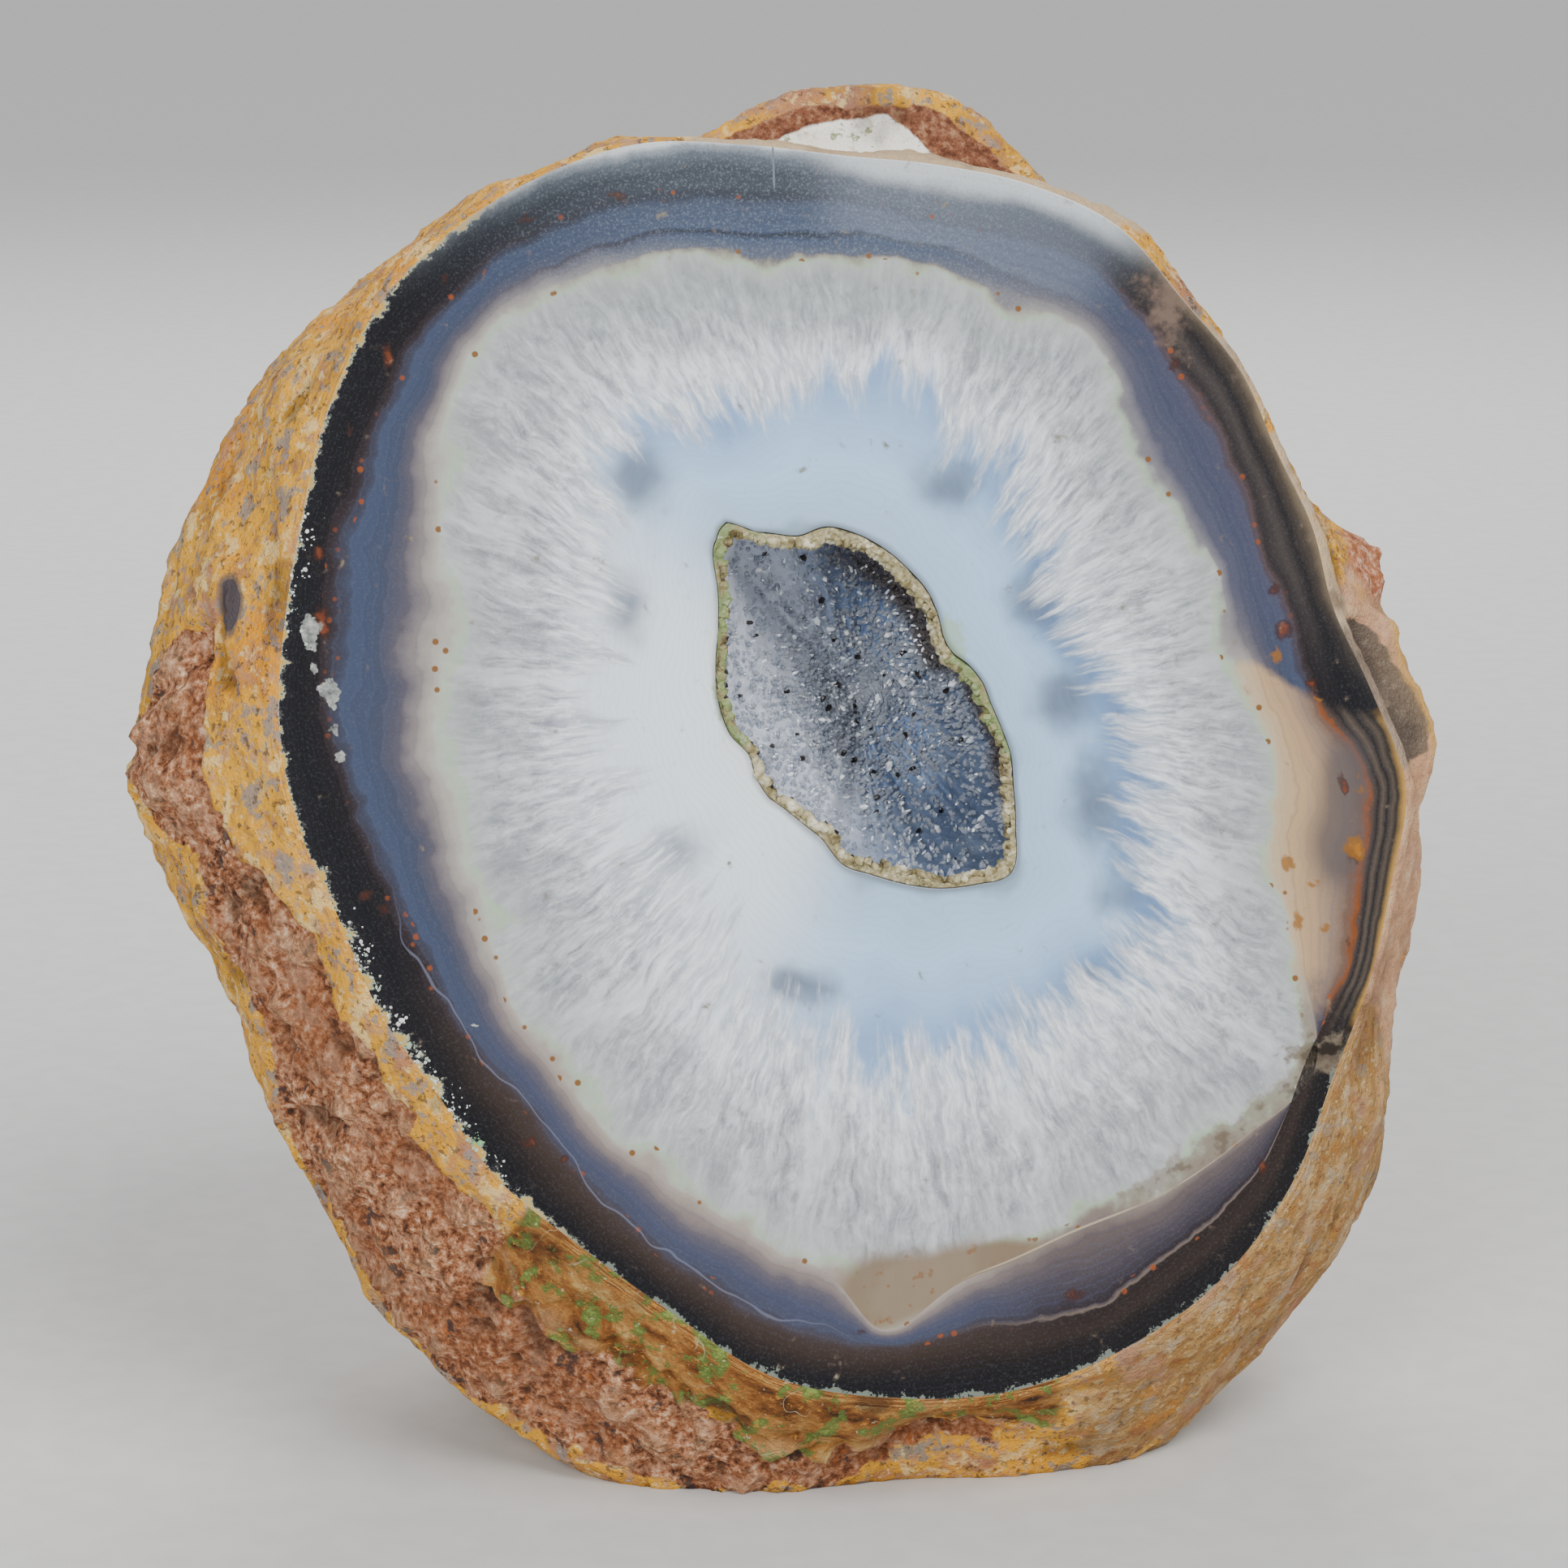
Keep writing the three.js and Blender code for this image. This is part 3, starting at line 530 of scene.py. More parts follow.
# the quartz grain is too fine to see, and is drawn coarser, at 0.22 mm
fine = add(tree, "TexNoise", where, 1000 / 0.22, 2, 0.75)
dots = add(tree, "TexVoronoi", where, 1000 / 1.7)
sideways = add(tree, "TexNoise", where, 1000 / 5, 2, 0.5, out=1)
leaning = add(tree, "VectorMath", sideways, (2.2, 2.2, 0.7), radial, operation="MULTIPLY_ADD")
# fibres half a millimetre wide that run outwards, in tufts about 2.5 mm wide
fibres = add(tree, "TexNoise", leaning, 1 / 0.6, 3, 0.68)
tufts = add(tree, "TexNoise", leaning, 1 / 2.7, 3, 0.62)
soft = add(tree, "Math", add(tree, "MapRange", broad, 0.25, 0.75, -0.12, 0.12), band_here, operation="ADD")

milky = add(tree, "ValToRGB", soft, stops=[
    (0.0, "#8fa6b8"), (0.08, "#a6c3de"), (0.45, "#adcff0"), (0.75, "#9dbfe4"), (1.0, "#86a6d0")])
tips_near = add(tree, "MapRange", soft, 0.5, 1.0, 0.0, mark["right_blue"], **SOFT)
milky = laid_over(tree, milky, [
    (tips_near, 0.0, 1.0, 0.85, "#6382ab"), (mark["left_grey"], 0.0, 1.0, 0.8, "#f3f9fa"),
    (swung(tree, broad, 1.5, mark["blots"]), 0.15, 1.2, 0.85, "#5f6b7e"),
    (ripples(tree, soft, 110.0), 0.0, 1.0, 0.08, "#8e9aa8")])

quartz = add(tree, "ValToRGB", fibres, stops=[
    (0.28, "#85868e"), (0.4, "#a6a8ae"), (0.5, "#bcbec3"), (0.6, "#ced1d6"), (0.74, "#eaedf1")])
near_tips = add(tree, "MapRange", band_here, 1.55, 1.02, 0.0, 0.55, **SOFT)
quartz = laid_over(tree, quartz, [
    (tufts, 0.52, 0.68, 0.6, "#86858f"), (tufts, 0.47, 0.34, 0.6, "#eceef2"),
    (middling, 0.54, 0.7, 0.35, "#8f9097"), (middling, 0.46, 0.3, 0.35, "#eef0f4"),
    (fibres, 0.5, 0.62, near_tips, "#fbfcff"), (fibres, 0.47, 0.38, near_tips, "#5f6d84"),
    (tufts, 0.6, 0.7, near_tips, "#55627a"),
    (fine, 0.6, 0.7, 0.35, "#f4f4f6"), (fine, 0.38, 0.3, 0.3, "#7c7a80"),
    (add(tree, "MapRange", soft, 1.1, 1.7, 0.0, mark["top"], **SOFT), 0.0, 1.0, 0.3, "#788584"),
    (soft, 1.25, 1.9, 0.5, "#868e8c"), (soft, 1.5, 1.1, 0.45, "#e6edf5"), (soft, 1.75, 1.95, 0.5, "#b3b2b0"),
    (add(tree, "MapRange", soft, 1.88, 1.96, 0.0, broad, **SOFT), 0.3, 0.55, 0.6, "#9db892")])
edge_of_tips = swung(tree, fibres, 0.34, swung(tree, tufts, 1.25, band_here))
colour = laid_over(tree, milky, [(edge_of_tips, 0.8, 1.2, 1.0, quartz)])

# the bands from the quartz out to the rind, for each side of the stone: place along 1.9 to 4
uneven = swung(tree, middling, 0.1, soft)
outwards = add(tree, "MapRange", uneven, 1.9, 4.0)
bands = add(tree, "ValToRGB", outwards, stops=[
    (0.0, "#b9c0b4"), (0.05, "#aca79e"), (0.1, "#979089"), (0.16, "#776f70"), (0.23, "#4f4c57"),
    (0.32, "#3b4256"), (0.42, "#3d465d"), (0.47, "#363541"), (0.51, "#2a2022"), (0.56, "#171113"),
    (0.75, "#0d0c0f"), (1.0, "#151316")])
mark["amber"] = add(tree, "MapRange", swung(tree, middling, 0.9, mark["amber"]), 0.15, 0.85)
for side, stops in [
    ("lower", [(0.0, "#b2b2a8"), (0.06, "#a0958b"), (0.15, "#80746f"), (0.24, "#55515c"), (0.34, "#41455a"),
               (0.43, "#3f4254"), (0.475, "#3f3a42"), (0.53, "#3a2e2b"), (0.62, "#33271f"), (0.74, "#231915"),
               (0.88, "#0d0a0c"), (1.0, "#0b0a0c")]),
    ("wedge", [(0.0, "#a79e92"), (0.04, "#85786f"), (0.14, "#5d5250"), (0.3, "#474046"), (0.42, "#363038"),
               (0.475, "#2a2023"), (0.5, "#6d6058"), (0.515, "#241915"), (0.68, "#2b201a"), (0.8, "#150f0d"),
               (1.0, "#0d0b0c")]),
    ("right", [(0.0, "#b2b1ae"), (0.05, "#7d797e"), (0.13, "#4f5060"), (0.3, "#414559"), (0.42, "#46475a"),
               (0.48, "#4c3d3d"), (0.53, "#2a2424"), (0.66, "#3f3835"), (0.78, "#1f1b1c"), (0.9, "#41382f"),
               (1.0, "#6f604b")]),
    # at the top the outer dark band is frosted, and its pale grey towards the edge is painted sheen
    ("top", [(0.0, "#b3b8ad"), (0.035, "#8f7f6c"), (0.07, "#515868"), (0.16, "#3f4c65"), (0.205, "#1e2534"),
             (0.235, "#3d4a62"), (0.4, "#3c475c"), (0.48, "#262b35"), (0.55, "#353c46"), (0.7, "#333a43"),
             (0.85, "#535c65"), (0.94, "#8b949b"), (1.0, "#cfd3d4")]),
    ("amber", [(0.0, "#bcb9ad"), (0.05, "#bda98d"), (0.14, "#b89a74"), (0.26, "#ad8f6e"), (0.38, "#8b7565"),
               (0.47, "#6b5040"), (0.505, "#7d431b"), (0.53, "#4c3b32"), (0.6, "#211d1d"), (0.67, "#54483d"),
               (0.74, "#1f1c1c"), (0.82, "#4f443a"), (0.88, "#29241f"), (0.94, "#80643a"), (1.0, "#b1863a")])]:
    bands = add(tree, "Mix", mark[side], bands, add(tree, "ValToRGB", outwards, stops=stops), **COLOUR)
sugar = add(tree, "MapRange", mark["top"], 0.0, 1.0, 0.035, 0.2)
near_border = add(tree, "Math", uneven, 2.02, 0.07, operation="COMPARE")
near_border = add(tree, "MapRange", near_border, 0.0, 1.0, 0.0, 0.95)
# a thin pale line that goes in scallops where blue meets brown, at the lower left
waves = add(tree, "TexNoise", where, 1000 / 4.5, 1, 0.5)
scallop = add(tree, "Math", swung(tree, waves, 0.55, band_here), 2.9, 0.014, operation="COMPARE")
scallop_cover = add(tree, "Math", mark["scallops"], 0.5, operation="MULTIPLY")
# specks of rust sit where the dark band meets the blue one
specks = add(tree, "TexVoronoi", where, 1000 / 1.3)
on_line = add(tree, "Math", add(tree, "Math", uneven, 2.95, 0.1, operation="COMPARE"),
              add(tree, "MapRange", broad, 0.47, 0.56, 0.0, 0.85), operation="MULTIPLY")
# a fine upright scratch in the dark band at the top
scratch = add(tree, "Math", add(tree, "SeparateXYZ", where), -2.6 * MM, 0.09 * MM, operation="COMPARE")
growth_lines = add(tree, "Math", uneven, 2.5, 0.42, operation="COMPARE")
growth_lines = add(tree, "MapRange", growth_lines, 0.0, 1.0, 0.03, 0.1)
bands = laid_over(tree, bands, [
    # at the upper right the frosted bands are laid over with pale grey: painted sheen
    (add(tree, "MapRange", uneven, 2.1, 2.5, 0.0, mark["frosted_sheen_right"], **SOFT), 0.0, 1.0, 0.4, "#7f8796"),
    (add(tree, "MapRange", uneven, 3.15, 3.92, 0.0, mark["frosted_sheen_right"], **SOFT), 0.0, 1.0, 0.95, "#c3c9cc"),
    (fine, 0.5, 0.68, sugar, "#aab4be"), (fine, 0.48, 0.34, sugar, "#232933"),
    (ripples(tree, uneven, 38.0), 0.5, 1.0, growth_lines, "#232738"),
    (ripples(tree, uneven, 61.0), 0.6, 1.0, growth_lines, "#566181"),
    (specks, 0.27, 0.15, on_line, "#8a4722"),
    (scratch, 0.0, 1.0, add(tree, "MapRange", band_here, 3.0, 3.1, 0.0, mark["top"]), "#6a727b"),
    (mark["grey_patch"], 0.15, 0.95, 0.8, "#544d4e"), (scallop, 0.0, 1.0, scallop_cover, "#6f7388")])
colour = laid_over(tree, colour, [(uneven, 1.93, 2.03, 1.0, bands)])
lens_cover = add(tree, "MapRange", mark["whites"], 0.4, 0.6, 0.0, 0.95)
tongue = laid_over(tree, "#84725d", [
    (broad, 0.45, 0.6, 0.5, "#75644f"), (middling, 0.6, 0.66, 0.7, "#7d5226")])
flake_hue = add(tree, "ValToRGB", add(tree, "TexNoise", where, 1000 / 0.7, 3, 0.7), stops=[
    (0.35, "#5d605d"), (0.5, "#8b8e8a"), (0.65, "#b3b5ae")])
marks_on_face = [(swung(tree, middling, 1.9, mark[name]), *stain) for name, *stain in [
    ("rust", 0.5, 0.8, 0.7, "#3b2119"), ("rust", 0.8, 1.15, 0.65, "#7c3c1c"),
    ("ochre", 0.45, 0.75, 0.8, "#8a5a1c"), ("ochre", 0.85, 1.1, 0.6, "#b0701c"),
    ("brown_patch", 0.2, 0.9, 0.8, "#796558"), ("rough_edge", 0.3, 0.75, 0.75, "#857b6c"),
    ("rough_edge", 0.8, 1.1, 0.6, "#57493b"), ("rough_end", 0.35, 0.7, 0.85, "#726656"),
    ("rough_end", 0.7, 1.0, 0.6, "#463a2e"), ("pocket", 0.45, 0.8, 0.9, "#1c130e"),
    ("green_spill", 0.4, 0.75, 0.55, "#9bb47c"), ("flakes", 0.5, 0.6, 0.9, flake_hue)]]
seam_edge = swung(tree, fine, 0.35, swung(tree, middling, 0.9, band_here))
keen = add(tree, "Math", band_here, 2.02, 0.014, operation="COMPARE")
colour = laid_over(tree, colour, [
    (dots, 0.2, 0.13, near_border, "#7a5022"), (mark["beige_tip"], 0.12, 0.75, lens_cover, tongue),
    (keen, 0.0, 1.0, mark["keen_edge"], "#a79a86"), *marks_on_face,
    (seam_edge, 3.97, 3.99, add(tree, "Math", mark["green_line"], 0.75, operation="MULTIPLY"), "#7c8579"),
    (seam_edge, 3.93, 3.96, mark["seam"], "#98a18c"), (seam_edge, 3.97, 4.0, mark["seam"], "#b8913f"),
    (band_here, 0.06, 0.0, broad, "#574b45")])
tree.links.new(colour, shader.inputs["Base Color"])
rough = add(tree, "MapRange", mark["seam"], 0.0, 1.0, 0.2, 0.8)
rough = add(tree, "MapRange", seam_edge, 3.88, 3.94, 0.14, rough)
rough = add(tree, "Math", add(tree, "MapRange", mark["top"], 0.0, 1.0, 0.0, 0.16), rough, operation="ADD")
tree.links.new(rough, shader.inputs["Roughness"])
tree.links.new(add(tree, "Bump", 0.15, 0.05 * MM, None, fibres), shader.inputs["Normal"])

stone.data.materials.append(rind_material)
stone.data.materials.append(face_material)
slots = np.zeros(len(stone.data.polygons), np.int32)
quads = (len(stone_rings) - 1) * STONE_COLUMNS
slots[rind_count * STONE_COLUMNS:quads] = 1
slots[quads + STONE_COLUMNS:] = 1
stone.data.polygons.foreach_set("material_index", slots)
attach(stone, "root")
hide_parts("agate_stone")


# The hollow's bed: the fine-grained blue-grey quartz that lines it. It grew on the hollow's wall, and
# where the polished face cuts it, it shows as a crumbly cream and green rim.
BED_COLUMNS, BED_ROWS, LIP_ROWS = 340, 70, 5
# the rim is thinner by THIN_SHARE between these degrees, and the floor slopes by BED_SLOPE
RIM_WIDTH, THIN_AT, THIN_SHARE, BED_SLOPE = 0.86, (140, 250), 0.4, 1.3


def bed_inset(angle):
    """How thick the bed is at each angle: the rim's width, uneven by noise, and thin at the lower left."""
    round_it = np.stack([12 * np.cos(angle), 12 * np.sin(angle), 0 * angle], -1)
    uneven = layered(round_it, [(0.2, 3.5, 61), (0.34, 1.1, 62), (0.34, 0.5, 63)])
    return (RIM_WIDTH + uneven) * (1 - THIN_SHARE * between(np.degrees(angle) % 360, *THIN_AT, 30))


def bed_surface(angle, share):
    """The bed's free surface: the wall's curve, less full at the left and below, where it slopes gently."""
    fullness = HOLLOW_FULLNESS - BED_SLOPE * between(np.degrees(angle) % 360, 118, 262, 100)
    return hollow(angle, share, bed_inset(angle), fullness)


bed_angle = np.radians(np.arange(BED_COLUMNS) * 360 / BED_COLUMNS)
back_shares = np.arange(15, -1, -1)[:, None] / 16
bed_back = hollow(np.broadcast_to(bed_angle, (16, BED_COLUMNS)), back_shares, 0.08)
in_shares = (np.arange(0, BED_ROWS)[:, None] / BED_ROWS) ** 0.9
bed_in = bed_surface(np.broadcast_to(bed_angle, (BED_ROWS, BED_COLUMNS)), in_shares)
lip_steps = np.linspace(0, 1, LIP_ROWS + 2)[1:-1, None, None]
bed_lip = bed_back[-1] + (bed_in[0] - bed_back[-1]) * lip_steps
bed_rings = np.concatenate([bed_back, bed_lip, bed_in])
lip_rows = slice(len(bed_back) - 1, len(bed_back) + LIP_ROWS + 1)
lip_places = bed_rings[lip_rows]
bed_rings[lip_rows, :, 2] = 0.08 + 0.2 * lumps(lip_places, 0.6, 64)
towards = np.stack([-np.cos(bed_angle), -np.sin(bed_angle), 0 * bed_angle], -1)
grown = layered(bed_in, [(0.4, 1.9, 51), (0.3, 0.9, 52), (0.2, 0.5, 53)])
fade = np.linspace(0.45, 0.0, BED_ROWS)[:, None] + 0.25
bed_rings[-BED_ROWS:] += (grown * fade)[..., None] * towards
bed_floor = np.array([*HOLLOW_SHIFT, HOLLOW_DEPTH - 0.08])
bed_middle = np.array([*HOLLOW_SHIFT, HOLLOW_DEPTH - RIM_WIDTH])
bed = closed_rings("druse_bed", place(*bed_rings.transpose(2, 0, 1)), place(*bed_floor), place(*bed_middle))
bed_sunk = np.concatenate([np.zeros(len(bed_back) + LIP_ROWS), np.linspace(0, 1, BED_ROWS)])
paint(bed, "sunk", np.broadcast_to(bed_sunk[:, None], bed_rings.shape[:2]), [0.0, 1.0])
bed_deg = np.broadcast_to(np.degrees(bed_angle), bed_rings.shape[:2])


def shadow_under_edge(angle, share):
    """1 under the hollow's upper and right edge, where painted shadow turns the bed and crystals brown-black,
    easing to 0 inwards.
    """
    degrees = np.degrees(angle)
    upper = between(degrees, 14, 100, 40) * (1 - ease(0.28, 0.58, share))
    return np.maximum(upper, between(degrees, -35, 20, 30) * (1 - ease(0.12, 0.36, share)))


# the hollow's painted light and shade: pale at the lower left where light falls, brown-black in the shadow
# under the upper and right edge, and dark grey on the shaded right wall
paint(bed, "lit_lower_left", between(bed_deg, 118, 262, 80), [0.0, 0.0])
paint(bed, "edge_shadow", shadow_under_edge(np.radians(bed_deg), bed_sunk[:, None]), [0.0, 0.0])
right_wall_shade = between(bed_deg, 280, 390, 50) * (1 - ease(0.5, 0.8, bed_sunk))[:, None]
paint(bed, "right_wall_shade", right_wall_shade, [0.0, 0.0])


def greenish(degrees):
    """1 where green mineral stains the rim: round the upper left corner and along the right."""
    return between(degrees, 112, 206, 40) + between(degrees, -30, 35, 40)


paint(bed, "greenish", greenish(bed_deg), [0.0, 0.0])
bed.data.polygons.foreach_set("use_smooth", np.ones(len(bed.data.polygons), bool))

# Chalcedony grown as a fine sugary layer: grey-blue in the middle, pale at the lower left as painted light,
# and brown-black under the upper edge and dark grey along the right wall as painted shade, with a cream rim
# that green mineral stains in patches.
bed_material, tree, shader = new_material("sugary_chalcedony", IOR=1.54)
where = add(tree, "TexCoord", out=3)
mark = {name: add(tree, "Attribute", attribute_name=name, out=2) for name in (
    "sunk", "lit_lower_left", "edge_shadow", "right_wall_shade", "greenish")}
broad = add(tree, "TexNoise", where, 1000 / 5, 3, 0.6)
fine = add(tree, "TexNoise", where, 1000 / 0.5, 3, 0.7)
lining = add(tree, "ValToRGB", broad, stops=[(0.3, "#586d94"), (0.5, "#6f86ac"), (0.66, "#8fa1bd")])
# painted light makes the lower left pale; painted shade darkens the right wall and turns the lining
# brown-black under the upper edge
lining = laid_over(tree, lining, [
    (mark["lit_lower_left"], 0.0, 0.8, 0.95, "#dbe0ec"), (fine, 0.55, 0.66, 0.5, "#cfd8e6"),
    (fine, 0.42, 0.32, 0.4, "#47566f"), (mark["right_wall_shade"], 0.0, 1.0, 0.6, "#4e5562"),
    (mark["edge_shadow"], 0.1, 1.0, 0.88, "#36261c")])
# the rim's own cream and ochre, darkened overall so that its crumbs stand out: partly painted shade between
# the crumbs
rim = add(tree, "ValToRGB", fine, stops=[
    (0.3, "#483d27"), (0.42, "#81764d"), (0.56, "#aba07a"), (0.7, "#dad2b6")])
rim_green = add(tree, "Math", mark["greenish"], broad, operation="MULTIPLY")
rim = laid_over(tree, rim, [
    (rim_green, 0.32, 0.46, 0.75, "#668044"), (fine, 0.64, 0.7, 0.5, "#f3efdf"),
    (broad, 0.5, 0.38, 0.6, "#8f7d52"), (mark["sunk"], 0.003, 0.012, 0.6, "#6d5a3a")])
rim_end = swung(tree, fine, 0.07, mark["sunk"])
tree.links.new(laid_over(tree, rim, [(rim_end, 0.012, 0.04, 1.0, lining)]), shader.inputs["Base Color"])
tree.links.new(add(tree, "MapRange", fine, 0.3, 0.7, 0.3, 0.6), shader.inputs["Roughness"])
tree.links.new(add(tree, "Bump", 0.8, 0.2 * MM, None, fine), shader.inputs["Normal"])
bed.data.materials.append(bed_material)
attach(bed, "root")
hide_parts("druse_crust")


# The druse's crystals: quartz prisms a quarter to half a millimetre across, each a short six-sided column
# with a six-faced point, grown outwards from the bed into the hollow.
CRYSTAL_COUNT, CRYSTAL_WIDTH = 5400, (0.22, 0.52)
chance = np.random.default_rng(41)


def crystals(name, at, direction, width, length, seed):
    """Six-sided columns with a point, joined in one mesh: a ring of six at the foot, one higher, a tip.

    Opposite faces of each point differ in size, because the tip is set off the middle.
    """
    helper = np.where(np.abs(direction[:, 2:3]) < 0.9, [[0.0, 0.0, 1.0]], [[1.0, 0.0, 0.0]])
    across = np.cross(direction, helper)
    across /= np.linalg.norm(across, axis=1, keepdims=True)
    over = np.cross(direction, across)
    spin = np.random.default_rng(seed).uniform(0, np.pi / 3, len(at))
    corner = np.arange(6) * np.pi / 3 + spin[:, None]
    round_it = np.cos(corner)[..., None] * across[:, None] + np.sin(corner)[..., None] * over[:, None]
    column = at[:, None] + round_it * width[:, None, None] / 2
    foot = column - direction[:, None] * 0.3
    shoulder = column + (direction * length[:, None] * 0.45)[:, None]
    tip = at + direction * length[:, None] + across * width[:, None] * 0.12
    points = np.concatenate([foot, shoulder, tip[:, None]], 1).reshape(-1, 3)
    i = np.arange(6)
    n = (i + 1) % 6
    sides = np.stack([i, n, 6 + n, 6 + i], -1)
    slopes = np.stack([6 + i, 6 + n, np.full(6, 12)], -1)
    start = (13 * np.arange(len(at)))[:, None, None]
    faces = (start + sides).reshape(-1, 4).tolist() + (start + slopes).reshape(-1, 3).tolist()
    faces += (13 * np.arange(len(at))[:, None] + i[::-1]).tolist()
    mesh = bpy.data.meshes.new(name)
    mesh.from_pydata((points * MM).tolist(), [], faces)
    piece = bpy.data.objects.new(name, mesh)
    bpy.context.collection.objects.link(piece)
    return piece


def on_bed(turn, share):
    """Places on the bed at given angles and shares of the way in, and the way out of the bed there.

    The way out is square to two short steps along the wall, and points to the hollow's middle."""
    spot = bed_surface(turn, share)
    step = 0.01
    aside = bed_surface((turn + step) % (2 * np.pi), share) - spot
    along = bed_surface(turn, np.minimum(share + step, 1)) - spot
    out = np.cross(along, aside)
    out /= np.linalg.norm(out, axis=1, keepdims=True) + 1e-9
    middle = np.array([HOLLOW_SHIFT[0] * 0.5, HOLLOW_SHIFT[1] * 0.5, HOLLOW_DEPTH * 0.35])
    out *= np.sign(((middle - spot) * out).sum(1))[:, None]
    return spot, out


def grow(name, turn, share, lean, width, stoutness, generator, lift=0.0):
    """Crystals on the bed, each leaning off square by a normal spread, and as long as its width times a
    number between the two in stoutness."""
    spot, out = on_bed(turn, share)
    leaning = out + generator.normal(0, lean, out.shape)
    leaning /= np.linalg.norm(leaning, axis=1, keepdims=True)
    to_world = np.stack([RIGHT, UP_FACE, INTO_STONE])
    length = width * generator.uniform(*stoutness, len(width))
    return crystals(name, place(*(spot + out * lift).T), leaning @ to_world, width, length, 7)


crystal_turn = chance.uniform(0, 2 * np.pi, CRYSTAL_COUNT)
crystal_share = 0.05 + 0.94 * chance.uniform(0, 1, CRYSTAL_COUNT) ** 0.75
quartz_points = grow("druse_crystals", crystal_turn, crystal_share, 0.22,
                     chance.uniform(*CRYSTAL_WIDTH, CRYSTAL_COUNT), (0.8, 1.4), chance)
# the crystals under the hollow's upper and right edge carry the same painted shadow
paint(quartz_points, "laid_over", np.repeat(shadow_under_edge(crystal_turn, crystal_share), 13), [])
# Rock crystal: clear quartz with a trace of grey in it, natural faces bright as glass. It shows the bed
# through itself, and glints where a face meets the light.
crystal_material, tree, shader = new_material("clear_quartz", IOR=1.544, Transmission_Weight=0.6)
where = add(tree, "TexCoord", out=3)
clear = add(tree, "ValToRGB", add(tree, "TexNoise", where, 1000 / 3, 2), stops=[
    (0.35, "#c2cbda"), (0.65, "#e0e5ee")])
# crystals under the hollow's upper and right edge are painted brown-black: painted shadow
tree.links.new(laid_over(tree, clear, [
    (add(tree, "Attribute", attribute_name="laid_over", out=2), 0.1, 1.0, 0.85, "#5a4334")]),
    shader.inputs["Base Color"])
tree.links.new(add(tree, "MapRange", add(tree, "TexNoise", where, 1000, 1), 0.3, 0.7, 0.03, 0.12),
               shader.inputs["Roughness"])
quartz_points.data.materials.append(crystal_material)
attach(quartz_points, "root")

# White points among the clear ones: quartz clouded white, grown in the same crust; their pure white also
# stands in for the druse's glints, as painted highlights.
WHITE_COUNT = 380
white_points = grow("white_crystals", chance.uniform(0, 2 * np.pi, WHITE_COUNT),
                    0.25 + 0.72 * chance.uniform(0, 1, WHITE_COUNT) ** 0.8, 0.3,
                    0.08 + chance.gamma(2.0, 0.07, WHITE_COUNT), (0.8, 1.3), chance, 0.25)
# Clouded quartz, white and bright as painted glints, with glassy faces.
white_material, tree, shader = new_material("white_glint_quartz", IOR=1.54, Roughness=0.12)
tree.links.new(add(tree, "ValToRGB", add(tree, "TexNoise", add(tree, "TexCoord", out=3), 1000 / 2, 2), stops=[
    (0.35, "#dfe8f2"), (0.6, "#ffffff")]), shader.inputs["Base Color"])
white_points.data.materials.append(white_material)
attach(white_points, "root")


# Black grains: small iron or manganese oxide crystals seated in the druse and in its rim at the left.
GRAIN_COUNT, RIM_GRAIN_COUNT = 42, 16
grain_turn = np.concatenate([chance.uniform(0, 2 * np.pi, GRAIN_COUNT),
                             np.radians(chance.uniform(150, 262, RIM_GRAIN_COUNT))])
grain_share = np.concatenate([chance.uniform(0.2, 0.9, GRAIN_COUNT),
                              chance.uniform(0.0, 0.05, RIM_GRAIN_COUNT)])
black_grains = grow("black_grains", grain_turn, grain_share, 0.15,
                    chance.uniform(0.28, 0.55, len(grain_turn)), (0.7, 0.9), chance, 0.3)
# Iron oxide: nearly black with a dull metallic glint, and brown where it has rusted.
grain_material, tree, shader = new_material("black_iron_oxide", Roughness=0.35)
rusted = add(tree, "TexNoise", add(tree, "TexCoord", out=3), 1000 / 0.6, 2)
tree.links.new(add(tree, "ValToRGB", rusted, stops=[(0.4, "#121013"), (0.7, "#2e2119")]),
               shader.inputs["Base Color"])
black_grains.data.materials.append(grain_material)
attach(black_grains, "root")


# Rim crumbs: grains of cream chalcedony, a quarter to nearly a whole millimetre across, that make the
# edge of the hollow rough to the touch. They grew on the bed's lip.
RIM_CRUMBS = 1000
crumb_turn = chance.uniform(0, 2 * np.pi, RIM_CRUMBS)
rim_crumbs = grow("rim_crumbs", crumb_turn, chance.uniform(0.0, 0.035, RIM_CRUMBS), 0.8,
                  chance.uniform(0.25, 0.85, RIM_CRUMBS), (0.5, 0.9), chance, 0.08)
paint(rim_crumbs, "greenish", np.repeat(greenish(np.degrees(crumb_turn)), 13), [])
# Cream chalcedony with an ochre stain, green in places: waxy, not glassy.
crumb_material, tree, shader = new_material("cream_chalcedony", Roughness=0.5)
uneven = add(tree, "TexNoise", add(tree, "TexCoord", out=3), 1000 / 1.4, 3)
crumb_green = add(tree, "Attribute", attribute_name="greenish", out=2)
crumb_green = add(tree, "Math", crumb_green, uneven, operation="MULTIPLY")
tree.links.new(laid_over(tree, add(tree, "ValToRGB", uneven, stops=[
    (0.34, "#5a4d2f"), (0.44, "#8b7f56"), (0.56, "#b5ab86"), (0.7, "#e0d9c2")]), [
    (crumb_green, 0.42, 0.54, 0.75, "#6a8646")]), shader.inputs["Base Color"])
rim_crumbs.data.materials.append(crumb_material)
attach(rim_crumbs, "root")


